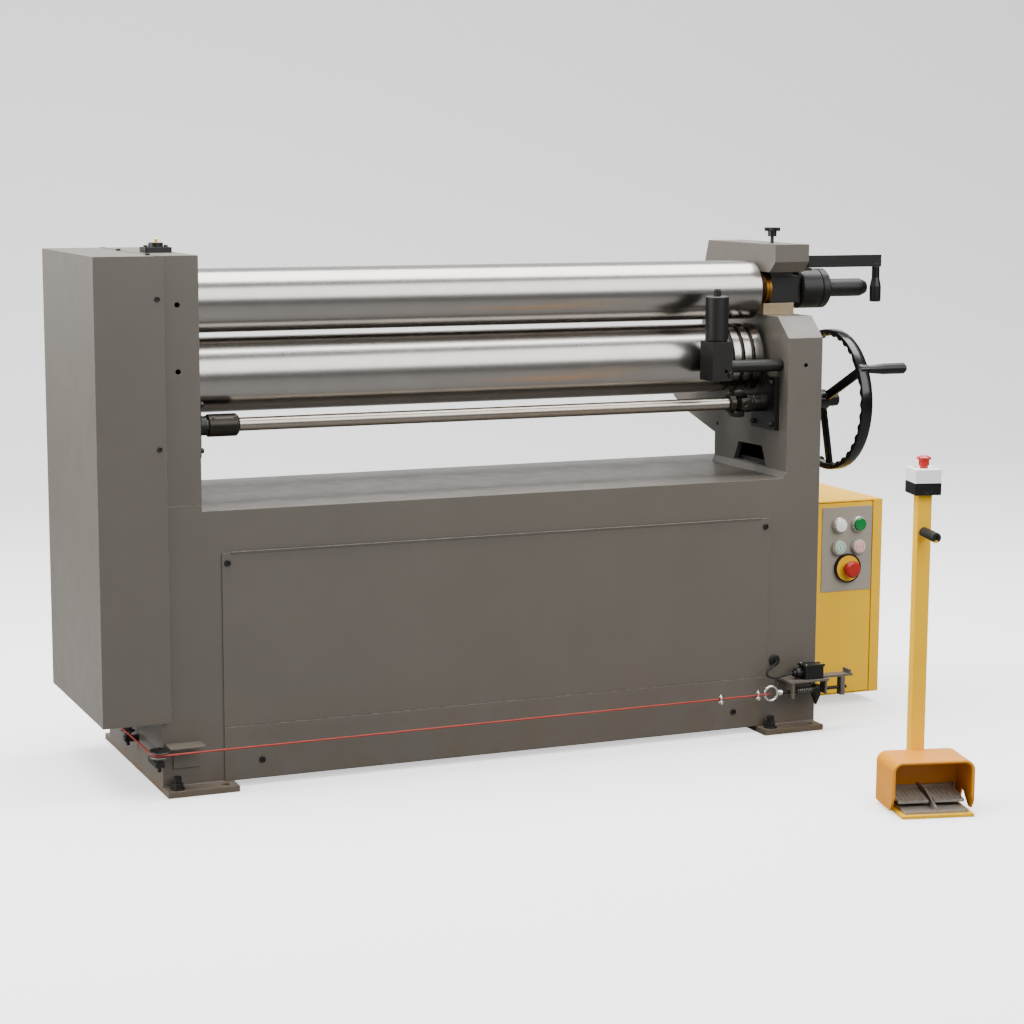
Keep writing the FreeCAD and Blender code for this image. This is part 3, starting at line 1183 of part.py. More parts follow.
# ---------------------------------------------------------------- pull-wire stop
CORNER_PULLEY = (WIRE_SIDE_X + CORNER_GROOVE_R + WIRE_R, WIRE_FRONT_Y + CORNER_GROOVE_R + WIRE_R,
                 CORNER_GROOVE_R)
SIDE_PULLEY = (WIRE_SIDE_X + SIDE_GROOVE_R + WIRE_R, SIDE_PULLEY_Y, SIDE_GROOVE_R)
ANCHOR_Y = 186.0


def pulley(x, y, groove_r):
    """Grooved guide pulley."""
    groove = groove_r - SEAT
    rim = groove_r + PULLEY_FLANGE
    profile = [(-8, 0), (-8, rim - 2), (-6, rim), (-4, rim), (-2, groove + 1), (0, groove),
               (2, groove + 1), (4, rim), (6, rim), (6, 0)]
    body = turned(profile, V(x, y, WIRE_Z), AXIS_Z)
    return body.cut(rod_z(WIRE_Z - 9, WIRE_Z + 7, x, y, 4 + RUN))


def pulley_brackets():
    """Bearers, axles and top washers of both pulleys, the front angle, and the wire's lug."""
    pieces = []
    for x, y, groove_r in (CORNER_PULLEY, SIDE_PULLEY):
        reach = max(y, BASE_FRONT + 14)
        arm = box(x - 9, BASE_LEFT, reach - 14, reach + 6, WIRE_Z - 26, WIRE_Z - 16)
        if y < BASE_FRONT:
            arm = fuse(arm, box(x - 9, x + 9, y - 8, reach - 10, WIRE_Z - 26, WIRE_Z - 16))
        axle = fuse(rod_z(WIRE_Z - 36, WIRE_Z + 14, x, y, 4),
                    rod_z(WIRE_Z - 16, WIRE_Z - 8 - SEAT, x, y, 7),
                    rod_z(WIRE_Z + 6 + SEAT, WIRE_Z + 9, x, y, groove_r + PULLEY_FLANGE))
        pieces.append(fuse(arm, axle))
    x0 = BASE_LEFT + 6
    flange = box(x0, x0 + 72, BASE_FRONT - 46, BASE_FRONT, WIRE_Z + 8, WIRE_Z + 11)
    back = box(x0 + 16, x0 + 72, BASE_FRONT - 4, BASE_FRONT, WIRE_Z - 41, WIRE_Z + 8)
    pieces.append(fuse(flange, back))
    lug = box(WIRE_SIDE_X - 8, BASE_LEFT, ANCHOR_Y, ANCHOR_Y + 8, WIRE_Z - 14, WIRE_Z + 14)
    pieces.append(lug.cut(rod_y(ANCHOR_Y - 1, ANCHOR_Y + 9, WIRE_SIDE_X, WIRE_Z, WIRE_R + 0.1)))
    return group(*pieces)


def tube(route, r, corner_radii=None):
    """Round tube of straight runs joined by tangent arcs; the radii fit the runs if not given."""
    points = [V(*point) for point in route]
    edges = []
    radii = []
    start = points[0]
    for number in range(1, len(points) - 1):
        corner = points[number]
        into = corner - points[number - 1]
        out = points[number + 1] - corner
        half_turn = into.getAngle(out) / 2
        radius = 0.45 * min(into.Length, out.Length) / math.tan(half_turn)
        if corner_radii:
            radius = corner_radii[number - 1]
        radii.append(round(radius, 1))
        back = radius * math.tan(half_turn)
        into.normalize()
        out.normalize()
        first = corner - into * back
        last = corner + out * back
        inward = (out - into).normalize()
        middle = corner + inward * (radius / math.cos(half_turn) - radius)
        edges.append(Part.LineSegment(start, first).toShape())
        edges.append(Part.Arc(first, middle, last).toShape())
        start = last
    edges.append(Part.LineSegment(start, points[-1]).toShape())
    path = Part.Wire(edges)
    section = Part.Wire([Part.Circle(points[0], points[1] - points[0], r).toShape()])
    solid = path.makePipeShell([section], True, True)
    print("tube radii", radii, "length", round(path.Length, 1), "volume ratio",
          round(solid.Volume / (math.pi * r ** 2 * path.Length), 4))
    return solid


def pull_wire():
    """Taut wire rope: from the eye, round the corner pulley, along the side to its lug."""
    hook_y = WIRE_FRONT_Y - EYE_WIRE_R - WIRE_R - SEAT
    route = [(EYE_X - 4, WIRE_FRONT_Y + 1, EYE_Z), (EYE_X - 9, hook_y, EYE_Z),
             (WIRE_SIDE_X, WIRE_FRONT_Y, WIRE_Z), (WIRE_SIDE_X, ANCHOR_Y + 10, WIRE_Z)]
    return tube(route, WIRE_R, [7.0, CORNER_GROOVE_R + WIRE_R])


BRACKET_LEFT = BASE_RIGHT - 100
BRACKET_RIGHT = BASE_RIGHT
ROD_Y = WIRE_FRONT_Y


def switch_bracket():
    """Angle bracket with two pierced legs, and the longer arm that carries the outer guide."""
    leg_low = SWITCH_SHELF_Z - 34
    shelf = box(BRACKET_LEFT, BRACKET_RIGHT, ROD_Y - 14, BASE_FRONT, SWITCH_SHELF_Z,
                SWITCH_SHELF_Z + 5)
    back = box(BRACKET_LEFT, BRACKET_RIGHT, BASE_FRONT - 4, BASE_FRONT, SWITCH_SHELF_Z - 30,
               SWITCH_SHELF_Z)
    left_leg = box(BRACKET_LEFT + 6, BRACKET_LEFT + 11, ROD_Y - 14, ROD_Y + 14, leg_low,
                   SWITCH_SHELF_Z)
    right_leg = box(BRACKET_RIGHT - 9, BRACKET_RIGHT - 4, ROD_Y - 12, ROD_Y + 12, leg_low + 4,
                    SWITCH_SHELF_Z)
    arm = box(BRACKET_RIGHT - 10, BRACKET_RIGHT + 66, ROD_Y - 6, ROD_Y + 22, SWITCH_SHELF_Z + 5,
              SWITCH_SHELF_Z + 10)
    end = box(BRACKET_RIGHT + 56, BRACKET_RIGHT + 61, ROD_Y - 6, ROD_Y + 22, SWITCH_SHELF_Z + 10,
              SWITCH_SHELF_Z + 19)
    outer = box(BRACKET_RIGHT + 34, BRACKET_RIGHT + 44, ROD_Y - 9, ROD_Y + 9, leg_low - 3,
                SWITCH_SHELF_Z + 5)
    bolt = rod_y(BASE_FRONT - 9, BASE_FRONT - 4, BRACKET_LEFT + 5, SWITCH_SHELF_Z - 12, 6)
    body = fuse(shelf, back, left_leg, right_leg, arm, end, outer, bolt)
    hole = rod_x(BRACKET_LEFT, BRACKET_RIGHT + 60, ROD_Y, EYE_Z, ROD_R + RUN)
    slot = box(BRACKET_RIGHT - 52, BRACKET_RIGHT - 32, ROD_Y - 5, ROD_Y + 5, SWITCH_SHELF_Z - 1,
               SWITCH_SHELF_Z + 6)
    return body.cut(hole).cut(slot)


def trip_rod():
    """Eye bolt, rod, spring collar and the pointed trip cam under the switch."""
    ring = Part.makeTorus(EYE_R, EYE_WIRE_R, V(EYE_X, ROD_Y, EYE_Z), AXIS_Y)
    neck_x = EYE_X + EYE_R
    neck = turned([(neck_x, 0), (neck_x, 5), (neck_x + 4, 7), (neck_x + 10, 7), (neck_x + 10, 0)],
                  V(0, ROD_Y, EYE_Z), AXIS_X)
    rod = rod_x(neck_x + 2, BRACKET_RIGHT + 52, ROD_Y, EYE_Z, ROD_R)
    cam_x = BRACKET_RIGHT - 26
    collar = rod_x(cam_x - 12, cam_x - 7, ROD_Y, EYE_Z, 9)
    cam = turned([(-36, 0), (-34, 2.5), (-12, 11), (8, 11), (11, 8), (11, 0)],
                 V(cam_x, ROD_Y, EYE_Z), AXIS_Z)
    return fuse(ring, neck, rod, collar, cam)


def trip_spring():
    """Spring on the rod against the collar; the pulled wire brings it up to the left leg."""
    x0 = BRACKET_LEFT + 11 + TRIP_TRAVEL
    x1 = BRACKET_RIGHT - 26 - 12
    wire_r = 1.1
    coil_r = ROD_R + 2.0 + wire_r
    pitch = (x1 - x0 - 2 * wire_r) / 8
    coil = Part.makeHelix(pitch, 8 * pitch, coil_r)
    section = Part.Wire([Part.Circle(V(coil_r, 0, 0), AXIS_Y, wire_r).toShape()])
    spring = Part.Wire(coil).makePipeShell([section], True, True)
    spring.Placement = FreeCAD.Placement(V(x0 + wire_r, ROD_Y, EYE_Z),
                                         FreeCAD.Rotation(AXIS_Z, AXIS_X))
    return spring


def limit_switch():
    """Switch body with a lid, a plunger and a cable gland at its left end."""
    x0 = BASE_RIGHT - 58
    y0 = ROD_Y - 8
    z0 = SWITCH_SHELF_Z + 5
    body = box(x0, x0 + 46, y0, y0 + 30, z0, z0 + 28)
    lid = box(x0 - 3, x0 + 48, y0 - 2, y0 + 32, z0 + 28, z0 + 33)
    gland_x = LEAD_ROUTE[-1][0]
    gland_y = LEAD_ROUTE[-1][1]
    gland_z = LEAD_ROUTE[-1][2]
    gland = fuse(rod_x(gland_x + 6, x0, gland_y, gland_z, 11), rod_x(gland_x, gland_x + 6, gland_y,
                                                                     gland_z, 7))
    plunger = rod_z(SWITCH_SHELF_Z - 6, z0, BASE_RIGHT - 42, ROD_Y, 3)
    return fuse(body, lid, gland, plunger)


def lead_grommet():
    """Rubber grommet where the switch's lead leaves the base."""
    x, _, z = LEAD_ROUTE[0]
    profile = [(0, 0), (0, GROMMET_R), (3, GROMMET_R), (5, GROMMET_R - 3), (5, 0)]
    ring = turned(profile, V(x, BASE_FRONT, z), V(0, -1, 0))
    stem = rod_y(BASE_FRONT, BASE_FRONT + BASE_WALL, x, z, GROMMET_R - 4.2)
    body = fuse(ring, stem)
    return body.cut(rod_y(BASE_FRONT - 0.3, BASE_FRONT + BASE_WALL + 1, x, z, LEAD_R + 0.3))


def switch_lead():
    """Lead from the grommet to the switch's gland."""
    return tube(LEAD_ROUTE, LEAD_R)


# ---------------------------------------------------------------- foot-switch pedestal
def placed(shape):
    """Turn a pedestal piece from its own frame (front edge of the plate at y = 0) into place."""
    shape.rotate(V(0, 0, 0), AXIS_Z, PED_TURN)
    shape.translate(V(PED_X, PED_Y, 0))
    return shape


def pedestal_stand():
    """Floor plate with the square post, its two gussets and the peg that holds a coil of lead."""
    half = PED_PLATE_W / 2
    plate = box(-half, half, 0, PED_PLATE_D, 0, PED_PLATE_T)
    y1 = PED_PLATE_D - 2
    y0 = y1 - POST_W
    outer = box(-POST_W / 2, POST_W / 2, y0, y1, PED_PLATE_T, POST_TOP)
    bore = box(-POST_W / 2 + 2, POST_W / 2 - 2, y0 + 2, y1 - 2, PED_PLATE_T, POST_TOP - 2)
    gussets = [prism_y([(side * POST_W / 2, PED_PLATE_T), (side * (half - 4), PED_PLATE_T),
                        (side * POST_W / 2, PED_PLATE_T + 80)], y1 - 5, y1) for side in (-1, 1)]
    profile = [(0, 0), (0, 10.5), (70, 10.5), (72, 9), (72, 4), (69, 4), (69, 0)]
    peg = turned(profile, V(0, y0, PEG_Z), V(0, -1, 0))
    return placed(group(fuse(plate, outer.cut(bore), *gussets), peg))


def pedal_hood():
    """Moulded guard open to the front, with round shoulders and slanted lower lips."""
    half = HOOD_W / 2
    z0 = PED_PLATE_T
    z1 = z0 + HOOD_H
    y0 = HOOD_FRONT
    y1 = HOOD_FRONT + HOOD_DEPTH
    w = HOOD_WALL
    outer = box(-half, half, y0, y1, z0, z1)
    outer = outer.makeFillet(20, [e for e in outer.Edges if is_shoulder(e, half, z1)])
    inner = box(-half + w, half - w, y0 - 1, y1 - w, z0 - 1, z1 - w)
    inner = inner.makeFillet(16, [e for e in inner.Edges if is_shoulder(e, half - w, z1 - w)])
    cut_low = 32.0
    lips = prism_x([(y0 - 1, z0 + cut_low), (y0 - 1, z0 - 1), (y0 + cut_low, z0 - 1)],
                   -half - 1, half + 1)
    lips = lips.common(box(-half - 1, half + 1, y0 - 1, y1, z0 - 1, z0 + cut_low))
    hood = outer.cut(inner)
    notch = prism_x([(y0 - 1, z0 + 20), (y0 - 1, z0 - 1), (y0 + 12, z0 - 1)], -half - 1, half + 1)
    rear = prism_x([(y0 + 24, z0 - 1), (y0 + 62, z0 + 30), (y0 + 76, z0 - 1)], half - w - 1, half + 1)
    return placed(hood.cut(notch).cut(rear))


def is_shoulder(edge, half, top):
    """True for the two upper edges that run from front to back."""
    middle = edge.CenterOfMass
    return abs(abs(middle.x) - half) < 0.01 and abs(middle.z - top) < 0.01


def pedal_unit():
    """Cast base of the twin foot switch with its centre web and hinge ears."""
    z0 = PED_PLATE_T
    half = HOOD_W / 2 - HOOD_WALL - SEAT
    floor = box(-64, 64, HOOD_FRONT - 22, HOOD_FRONT + HOOD_DEPTH - HOOD_WALL - SEAT, z0, z0 + 5)
    web = prism_x([(HOOD_FRONT - 20, z0 + 5), (PEDAL_HINGE_Y + 4, z0 + 5), (PEDAL_HINGE_Y + 4, z0 + 34),
                   (PEDAL_HINGE_Y - 40, z0 + 32), (HOOD_FRONT - 20, z0 + 12)], -1.5, 1.5)
    ears = []
    for x0, x1 in ((-half + 6, -half + 10), (half - 10, half - 6)):
        ears.append(box(x0, x1, PEDAL_HINGE_Y - 7, PEDAL_HINGE_Y + 4, z0 + 5, PEDAL_HINGE_Z + 6))
    sides = [box(-half + 6, -58, PEDAL_HINGE_Y - 7, PEDAL_HINGE_Y + 4, z0, z0 + 5),
             box(58, half - 6, PEDAL_HINGE_Y - 7, PEDAL_HINGE_Y + 4, z0, z0 + 5)]
    pin = rod_x(-half + 6, half - 6, PEDAL_HINGE_Y, PEDAL_HINGE_Z, 3)
    return placed(fuse(floor, web, pin, *(ears + sides)))


def pedal(side):
    """Ribbed tread that rocks on the rear pin."""
    x0, x1 = (-68.0, -6.0) if side < 0 else (6.0, 68.0)
    front = HOOD_FRONT + 10
    tread = prism_x([(front, 19), (front, 24), (PEDAL_HINGE_Y + 4, 34.5), (PEDAL_HINGE_Y + 4, 29.5)],
                    x0, x1)
    eye = rod_x(x0, x1, PEDAL_HINGE_Y, PEDAL_HINGE_Z, 5.5)
    body = fuse(tread, eye)
    ribs = 7
    pitch = (x1 - x0) / ribs
    grooves = []
    for number in range(1, ribs):
        x = x0 + number * pitch
        grooves.append(prism_x([(front - 2, 22.8), (front - 2, 30), (PEDAL_HINGE_Y - 12, 40),
                                (PEDAL_HINGE_Y - 12, 31.2)], x - 1.0, x + 1.0))
    body = body.cut(Part.makeCompound(grooves))
    return placed(body.cut(rod_x(x0 - 1, x1 + 1, PEDAL_HINGE_Y, PEDAL_HINGE_Z, 3 + RUN)))


def stop_box_front():
    return PED_PLATE_D - 2 - POST_W / 2 - BOX_D / 2


def stop_box():
    """Two-part button box: a base with a knock-out and a cover with a recessed top."""
    half = BOX_W / 2
    y0 = stop_box_front()
    z0 = POST_TOP + BOX_LOWER_H
    z1 = z0 + BOX_UPPER_H
    cover = box(-half, half, y0, y0 + BOX_D, z0, z1)
    cover = cover.makeFillet(2.5, [e for e in cover.Edges if e.CenterOfMass.z > z0 + 1])
    dish = rod_z(z1 - 2, z1 + 1, 0, y0 + BOX_D / 2, 22)
    hole = rod_z(z0 + 4, z1 + 1, 0, y0 + BOX_D / 2, 8.5)
    base = box(-half, half, y0, y0 + BOX_D, POST_TOP, z0)
    knockout = rod_y(y0 - 1, y0 + 1, 0, POST_TOP + BOX_LOWER_H / 2, 8)
    return placed(group(base.cut(knockout), cover.cut(dish).cut(hole)))


def pedestal_stop():
    z1 = POST_TOP + BOX_LOWER_H + BOX_UPPER_H
    y = stop_box_front() + BOX_D / 2
    profile = [(-16, 0), (-16, 8.2), (4, 8.2), (4, 10.5), (15, 10.5), (17, 14.5), (20, 14.5), (23, 9),
               (23.5, 0)]
    return placed(turned(profile, V(0, y, z1), AXIS_Z))


PARTS = {
    "foot_plates": foot_plates,
    "levelling_bolts": levelling_bolts,
    "base_frame": base_frame,
    "front_panel": front_panel,
    "left_frame": left_frame,
    "right_frame": right_frame,
    "slide_gibs": gibs,
    "screw_jacks": screw_jacks,
    "gear_cover": gear_cover,
    "top_roll": top_roll,
    "top_roll_gears": top_roll_gears,
    "lower_roll": lower_roll,
    "lower_roll_gear": lower_roll_gear,
    "rear_roll": rear_roll,
    "lower_bearing_blocks": lower_bearing_blocks,
    "rear_bearing_blocks": rear_bearing_blocks,
    "idler_gear": idler_gear,
    "drive_pinion": drive_pinion,
    "geared_motor": geared_motor,
    "roll_bushes": roll_bushes,
    "top_bearing_block": top_bearing_block,
    "bearing_housing": bearing_housing,
    "bearing_cap": bearing_cap,
    "head_block": head_block,
    "head_hinge_pin": hinge_pin,
    "star_knob": star_knob,
    "lock_lever": lock_lever,
    "lever_grip": lever_grip,
    "bearing_plates": bearing_plates,
    "cross_shaft": cross_shaft,
    "shaft_couplings": shaft_couplings,
    "handwheel": main_handwheel,
    "handwheel_grip": handwheel_grip,
    "rear_feed_shaft": rear_feed_shaft,
    "cone_arm": cone_arm,
    "cone_roller": cone_roller,
    "cabinet": cabinet,
    "cabinet_door": cabinet_door,
    "control_plate": control_plate,
    "pilot_lamps": pilot_lamps,
    "start_button": lambda: push_button(2),
    "stop_button": lambda: push_button(3),
    "panel_stop": panel_stop,
    "corner_pulley": lambda: pulley(*CORNER_PULLEY),
    "side_pulley": lambda: pulley(*SIDE_PULLEY),
    "pulley_brackets": pulley_brackets,
    "pull_wire": pull_wire,
    "switch_bracket": switch_bracket,
    "limit_switch": limit_switch,
    "trip_rod": trip_rod,
    "trip_spring": trip_spring,
    "lead_grommet": lead_grommet,
    "switch_lead": switch_lead,
    "pedestal_stand": pedestal_stand,
    "pedal_hood": pedal_hood,
    "pedal_unit": pedal_unit,
    "pedal_left": lambda: pedal(-1),
    "pedal_right": lambda: pedal(1),
    "stop_box": stop_box,
    "pedestal_stop": pedestal_stop,
}

os.makedirs("parts", exist_ok=True)
for name, make in PARTS.items():
    make().exportStep("parts/" + name + ".step")
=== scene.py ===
from math import cos, hypot, pi, radians, sin, tau

import bmesh
import bpy
from mathutils import Matrix, Vector


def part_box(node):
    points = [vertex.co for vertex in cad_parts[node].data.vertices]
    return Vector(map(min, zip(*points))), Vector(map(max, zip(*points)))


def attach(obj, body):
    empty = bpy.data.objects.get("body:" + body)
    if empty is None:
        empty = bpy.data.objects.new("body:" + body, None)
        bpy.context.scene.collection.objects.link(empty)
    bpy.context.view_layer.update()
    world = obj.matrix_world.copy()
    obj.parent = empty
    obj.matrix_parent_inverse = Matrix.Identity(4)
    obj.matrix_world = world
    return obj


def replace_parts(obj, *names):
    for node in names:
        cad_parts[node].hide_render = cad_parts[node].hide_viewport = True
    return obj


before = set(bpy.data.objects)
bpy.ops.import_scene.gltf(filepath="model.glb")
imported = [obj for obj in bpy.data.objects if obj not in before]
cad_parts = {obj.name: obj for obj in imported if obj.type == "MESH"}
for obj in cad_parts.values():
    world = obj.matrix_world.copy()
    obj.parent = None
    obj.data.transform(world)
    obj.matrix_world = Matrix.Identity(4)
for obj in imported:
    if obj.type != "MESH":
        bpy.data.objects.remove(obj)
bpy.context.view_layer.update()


# ---- Floor, light and camera ---------------------------------------------------------------
# A pale sheet lies under the machine and sweeps up behind it, and shines more as it rises. Soft
# panels hang above, to the left and in front, the long ones along the rolls, so that the polished
# steel has something to reflect.

def wire(tree, kind, inputs=None, **settings):
    made = tree.nodes.new("ShaderNode" + kind)
    for name, value in settings.items():
        setattr(made, name, value)
    for name, value in (inputs or {}).items():
        if isinstance(value, bpy.types.NodeSocket):
            tree.links.new(value, made.inputs[name])
        else:
            made.inputs[name].default_value = value
    return made


def colour(red, green, blue):
    return tuple((part / 255) ** 2.2 for part in (red, green, blue)) + (1.0,)


def finish(name, **sockets):
    made = bpy.data.materials.new(name)
    made.use_nodes = True
    shader = made.node_tree.nodes["Principled BSDF"]
    for socket, value in sockets.items():
        shader.inputs[socket.replace("_", " ")].default_value = value
    return made, made.node_tree, shader


sheet_white, tree, shader = finish("studio_sheet", Roughness=0.65, Emission_Color=(1.0, 1.0, 1.0, 1.0))
cloud = wire(tree, "TexNoise", {"Scale": 0.7, "Detail": 2.0})
pale = wire(tree, "MapRange", {"Value": cloud.outputs["Fac"], "To Min": 0.86, "To Max": 0.9})
seen = wire(tree, "LightPath").outputs["Is Camera Ray"]
tone = wire(tree, "MapRange", {"Value": seen, "To Min": 0.15, "To Max": pale.outputs["Result"]})
spot = wire(tree, "SeparateXYZ", {"Vector": wire(tree, "NewGeometry").outputs["Position"]})
wall = wire(tree, "MapRange", {"Value": spot.outputs["Z"], "From Min": 0.3, "From Max": 1.0,
                               "To Min": 0.03, "To Max": 1.1})
glow = wire(tree, "MapRange", {"Value": seen, "To Min": wall.outputs["Result"], "To Max": 0.9})
tree.links.new(tone.outputs["Result"], shader.inputs["Base Color"])
tree.links.new(glow.outputs["Result"], shader.inputs["Emission Strength"])

sheet_front, sheet_bend, sheet_top, sheet_half = -9.0, 4.0, 9.0, 14.0
bend_radius, bend_steps, floor_gap = 3.0, 12, 0.0005
bend = [pi / 2 * step / bend_steps for step in range(bend_steps + 1)]
sweep = [(sheet_front, 0.0)]
sweep += [(sheet_bend + bend_radius * sin(a), bend_radius - bend_radius * cos(a)) for a in bend]
sweep += [(sheet_bend + bend_radius, sheet_top)]
sheet = bpy.data.meshes.new("studio_floor")
sheet.from_pydata([(x, y, z - floor_gap) for y, z in sweep for x in (-sheet_half, sheet_half)], [],
                  [(2 * i, 2 * i + 1, 2 * i + 3, 2 * i + 2) for i in range(len(sweep) - 1)])
for face in sheet.polygons:
    face.use_smooth = True
sheet.materials.append(sheet_white)
floor = bpy.data.objects.new("studio_floor", sheet)
bpy.context.scene.collection.objects.link(floor)

world = bpy.data.worlds.new("studio_air")
world.use_nodes = True
air = world.node_tree
air.nodes["Background"].inputs["Color"].default_value = (0.80, 0.82, 0.85, 1.0)
seen = wire(air, "LightPath").outputs["Is Camera Ray"]
haze = wire(air, "MapRange", {"Value": seen, "To Min": 0.26, "To Max": 0.75})
air.links.new(haze.outputs["Result"], air.nodes["Background"].inputs["Strength"])
bpy.context.scene.world = world


def soft_panel(name, place, aim, width, height, power):
    light = bpy.data.lights.new(name, "AREA")
    light.shape = "RECTANGLE"
    light.size = width
    light.size_y = height
    light.energy = power
    made = bpy.data.objects.new(name, light)
    made.location = place
    made.rotation_euler = (Vector(aim) - Vector(place)).to_track_quat("-Z", "Y").to_euler()
    bpy.context.scene.collection.objects.link(made)


soft_panel("top_panel", (0.0, 0.2, 3.4), (0.0, 0.0, 0.8), width=5.0, height=2.2, power=420)
soft_panel("upper_front_panel", (1.3, -3.7, 3.0), (0.0, 0.0, 0.9), width=4.6, height=3.0, power=230)
soft_panel("left_panel", (-4.0, 0.2, 1.9), (-0.8, 0.0, 0.7), width=2.4, height=2.2, power=215)

camera_place = (-1.98259, -4.72541, 1.27684)
turn, tilt, roll = radians(23.33), radians(8.62), radians(0.24)
ahead = Vector((sin(turn) * cos(tilt), cos(turn) * cos(tilt), -sin(tilt)))
level = Vector((cos(turn), -sin(turn), 0.0))
above = level.cross(ahead)
right = level * cos(roll) + above * sin(roll)
above = above * cos(roll) - level * sin(roll)
camera = bpy.data.objects.new("camera", bpy.data.cameras.new("camera"))
camera.data.lens = 82.27
camera.data.sensor_width = 36.0
axes = Matrix((right, above, -ahead)).transposed().to_4x4()
camera.matrix_world = Matrix.Translation(camera_place) @ axes
bpy.context.scene.collection.objects.link(camera)
bpy.context.scene.camera = camera


# ---- Painted steel body --------------------------------------------------------------------
# Folded and welded plate, sprayed with one warm grey enamel that dried with a slight orange peel.
# Edges have rubbed lighter, and brown shop dirt has splashed up from the floor.

def new_group(name, inputs, outputs):
    tree = bpy.data.node_groups.new(name, "ShaderNodeTree")
    for way, sockets in (("INPUT", inputs), ("OUTPUT", outputs)):
        for socket, kind in sockets.items():
            tree.interface.new_socket(socket, in_out=way, socket_type="NodeSocket" + kind)
    return tree, tree.nodes.new("NodeGroupInput"), tree.nodes.new("NodeGroupOutput")


def fill(tree, group, inputs):
    return wire(tree, "Group", inputs, node_tree=group)


mix_share, mix_first, mix_second, mix_result = 0, 6, 7, 2


def blend_colour(tree, share, first, second):
    mix = wire(tree, "Mix", {mix_share: share, mix_first: first, mix_second: second}, data_type="RGBA")
    return mix.outputs[mix_result]


edge_rub, given, result = new_group("edge_rub", {"Radius": "Float", "Wear": "Float"},
                                    {"Normal": "Vector", "Edge": "Float"})
rounded = wire(edge_rub, "Bevel", {"Radius": given.outputs["Radius"]}, samples=4)
flat = wire(edge_rub, "NewGeometry")
facing = wire(edge_rub, "VectorMath", {0: rounded.outputs["Normal"], 1: flat.outputs["Normal"]},
              operation="DOT_PRODUCT")
lifted = wire(edge_rub, "MapRange", {"Value": facing.outputs["Value"], "From Min": 0.995, "From Max": 0.9})
place = wire(edge_rub, "TexCoord")
chips = wire(edge_rub, "TexNoise", {"Vector": place.outputs["Object"], "Scale": 85.0, "Detail": 5.0})
chipped = wire(edge_rub, "MapRange", {"Value": chips.outputs["Fac"], "From Min": 0.42, "From Max": 0.62})
worn = wire(edge_rub, "Math", {0: lifted.outputs["Result"], 1: chipped.outputs["Result"]},
            operation="MULTIPLY")
kept = wire(edge_rub, "Math", {0: worn.outputs["Value"], 1: given.outputs["Wear"]}, operation="MULTIPLY")
edge_rub.links.new(rounded.outputs["Normal"], result.inputs["Normal"])
edge_rub.links.new(kept.outputs["Value"], result.inputs["Edge"])

clouded, given, result = new_group("clouded", {"Scale": "Float", "Low": "Float", "High": "Float"},
                                   {"Value": "Float"})
place = wire(clouded, "TexCoord")
cloud = wire(clouded, "TexNoise", {"Vector": place.outputs["Object"], "Scale": given.outputs["Scale"],
                                   "Detail": 5.0, "Roughness": 0.6})
spread = wire(clouded, "MapRange", {"Value": cloud.outputs["Fac"], "From Min": 0.3, "From Max": 0.7,
                                    "To Min": given.outputs["Low"], "To Max": given.outputs["High"]})
clouded.links.new(spread.outputs["Result"], result.inputs["Value"])

shop_dirt, given, result = new_group("shop_dirt", {"Colour": "Color", "Dirt": "Color", "Height": "Float",
                                                   "Amount": "Float"}, {"Colour": "Color", "Mask": "Float"})
place = wire(shop_dirt, "TexCoord")
apart = wire(shop_dirt, "SeparateXYZ", {"Vector": place.outputs["Object"]})
low = wire(shop_dirt, "MapRange", {"Value": apart.outputs["Z"], "From Min": given.outputs["Height"],
                                   "From Max": 0.0})
streak = wire(shop_dirt, "Mapping", {"Vector": place.outputs["Object"], "Scale": (14.0, 14.0, 9.0)})
splash = wire(shop_dirt, "TexNoise", {"Vector": streak.outputs["Vector"], "Scale": 1.0, "Detail": 8.0,
                                      "Roughness": 0.65})
patch = wire(shop_dirt, "MapRange", {"Value": splash.outputs["Fac"], "From Min": 0.38, "From Max": 0.68})
mask = wire(shop_dirt, "Math", {0: low.outputs["Result"], 1: patch.outputs["Result"]}, operation="MULTIPLY")
share = wire(shop_dirt, "Math", {0: mask.outputs["Value"], 1: given.outputs["Amount"]}, operation="MULTIPLY")
dirty = blend_colour(shop_dirt, share.outputs["Value"], given.outputs["Colour"], given.outputs["Dirt"])
shop_dirt.links.new(dirty, result.inputs["Colour"])
shop_dirt.links.new(share.outputs["Value"], result.inputs["Mask"])


def mottled(tree, base, scale, low, high):
    shade = fill(tree, clouded, {"Scale": scale, "Low": low, "High": high})
    toned = wire(tree, "VectorMath", {0: base[:3], "Scale": shade.outputs["Value"]}, operation="SCALE")
    return toned.outputs["Vector"]


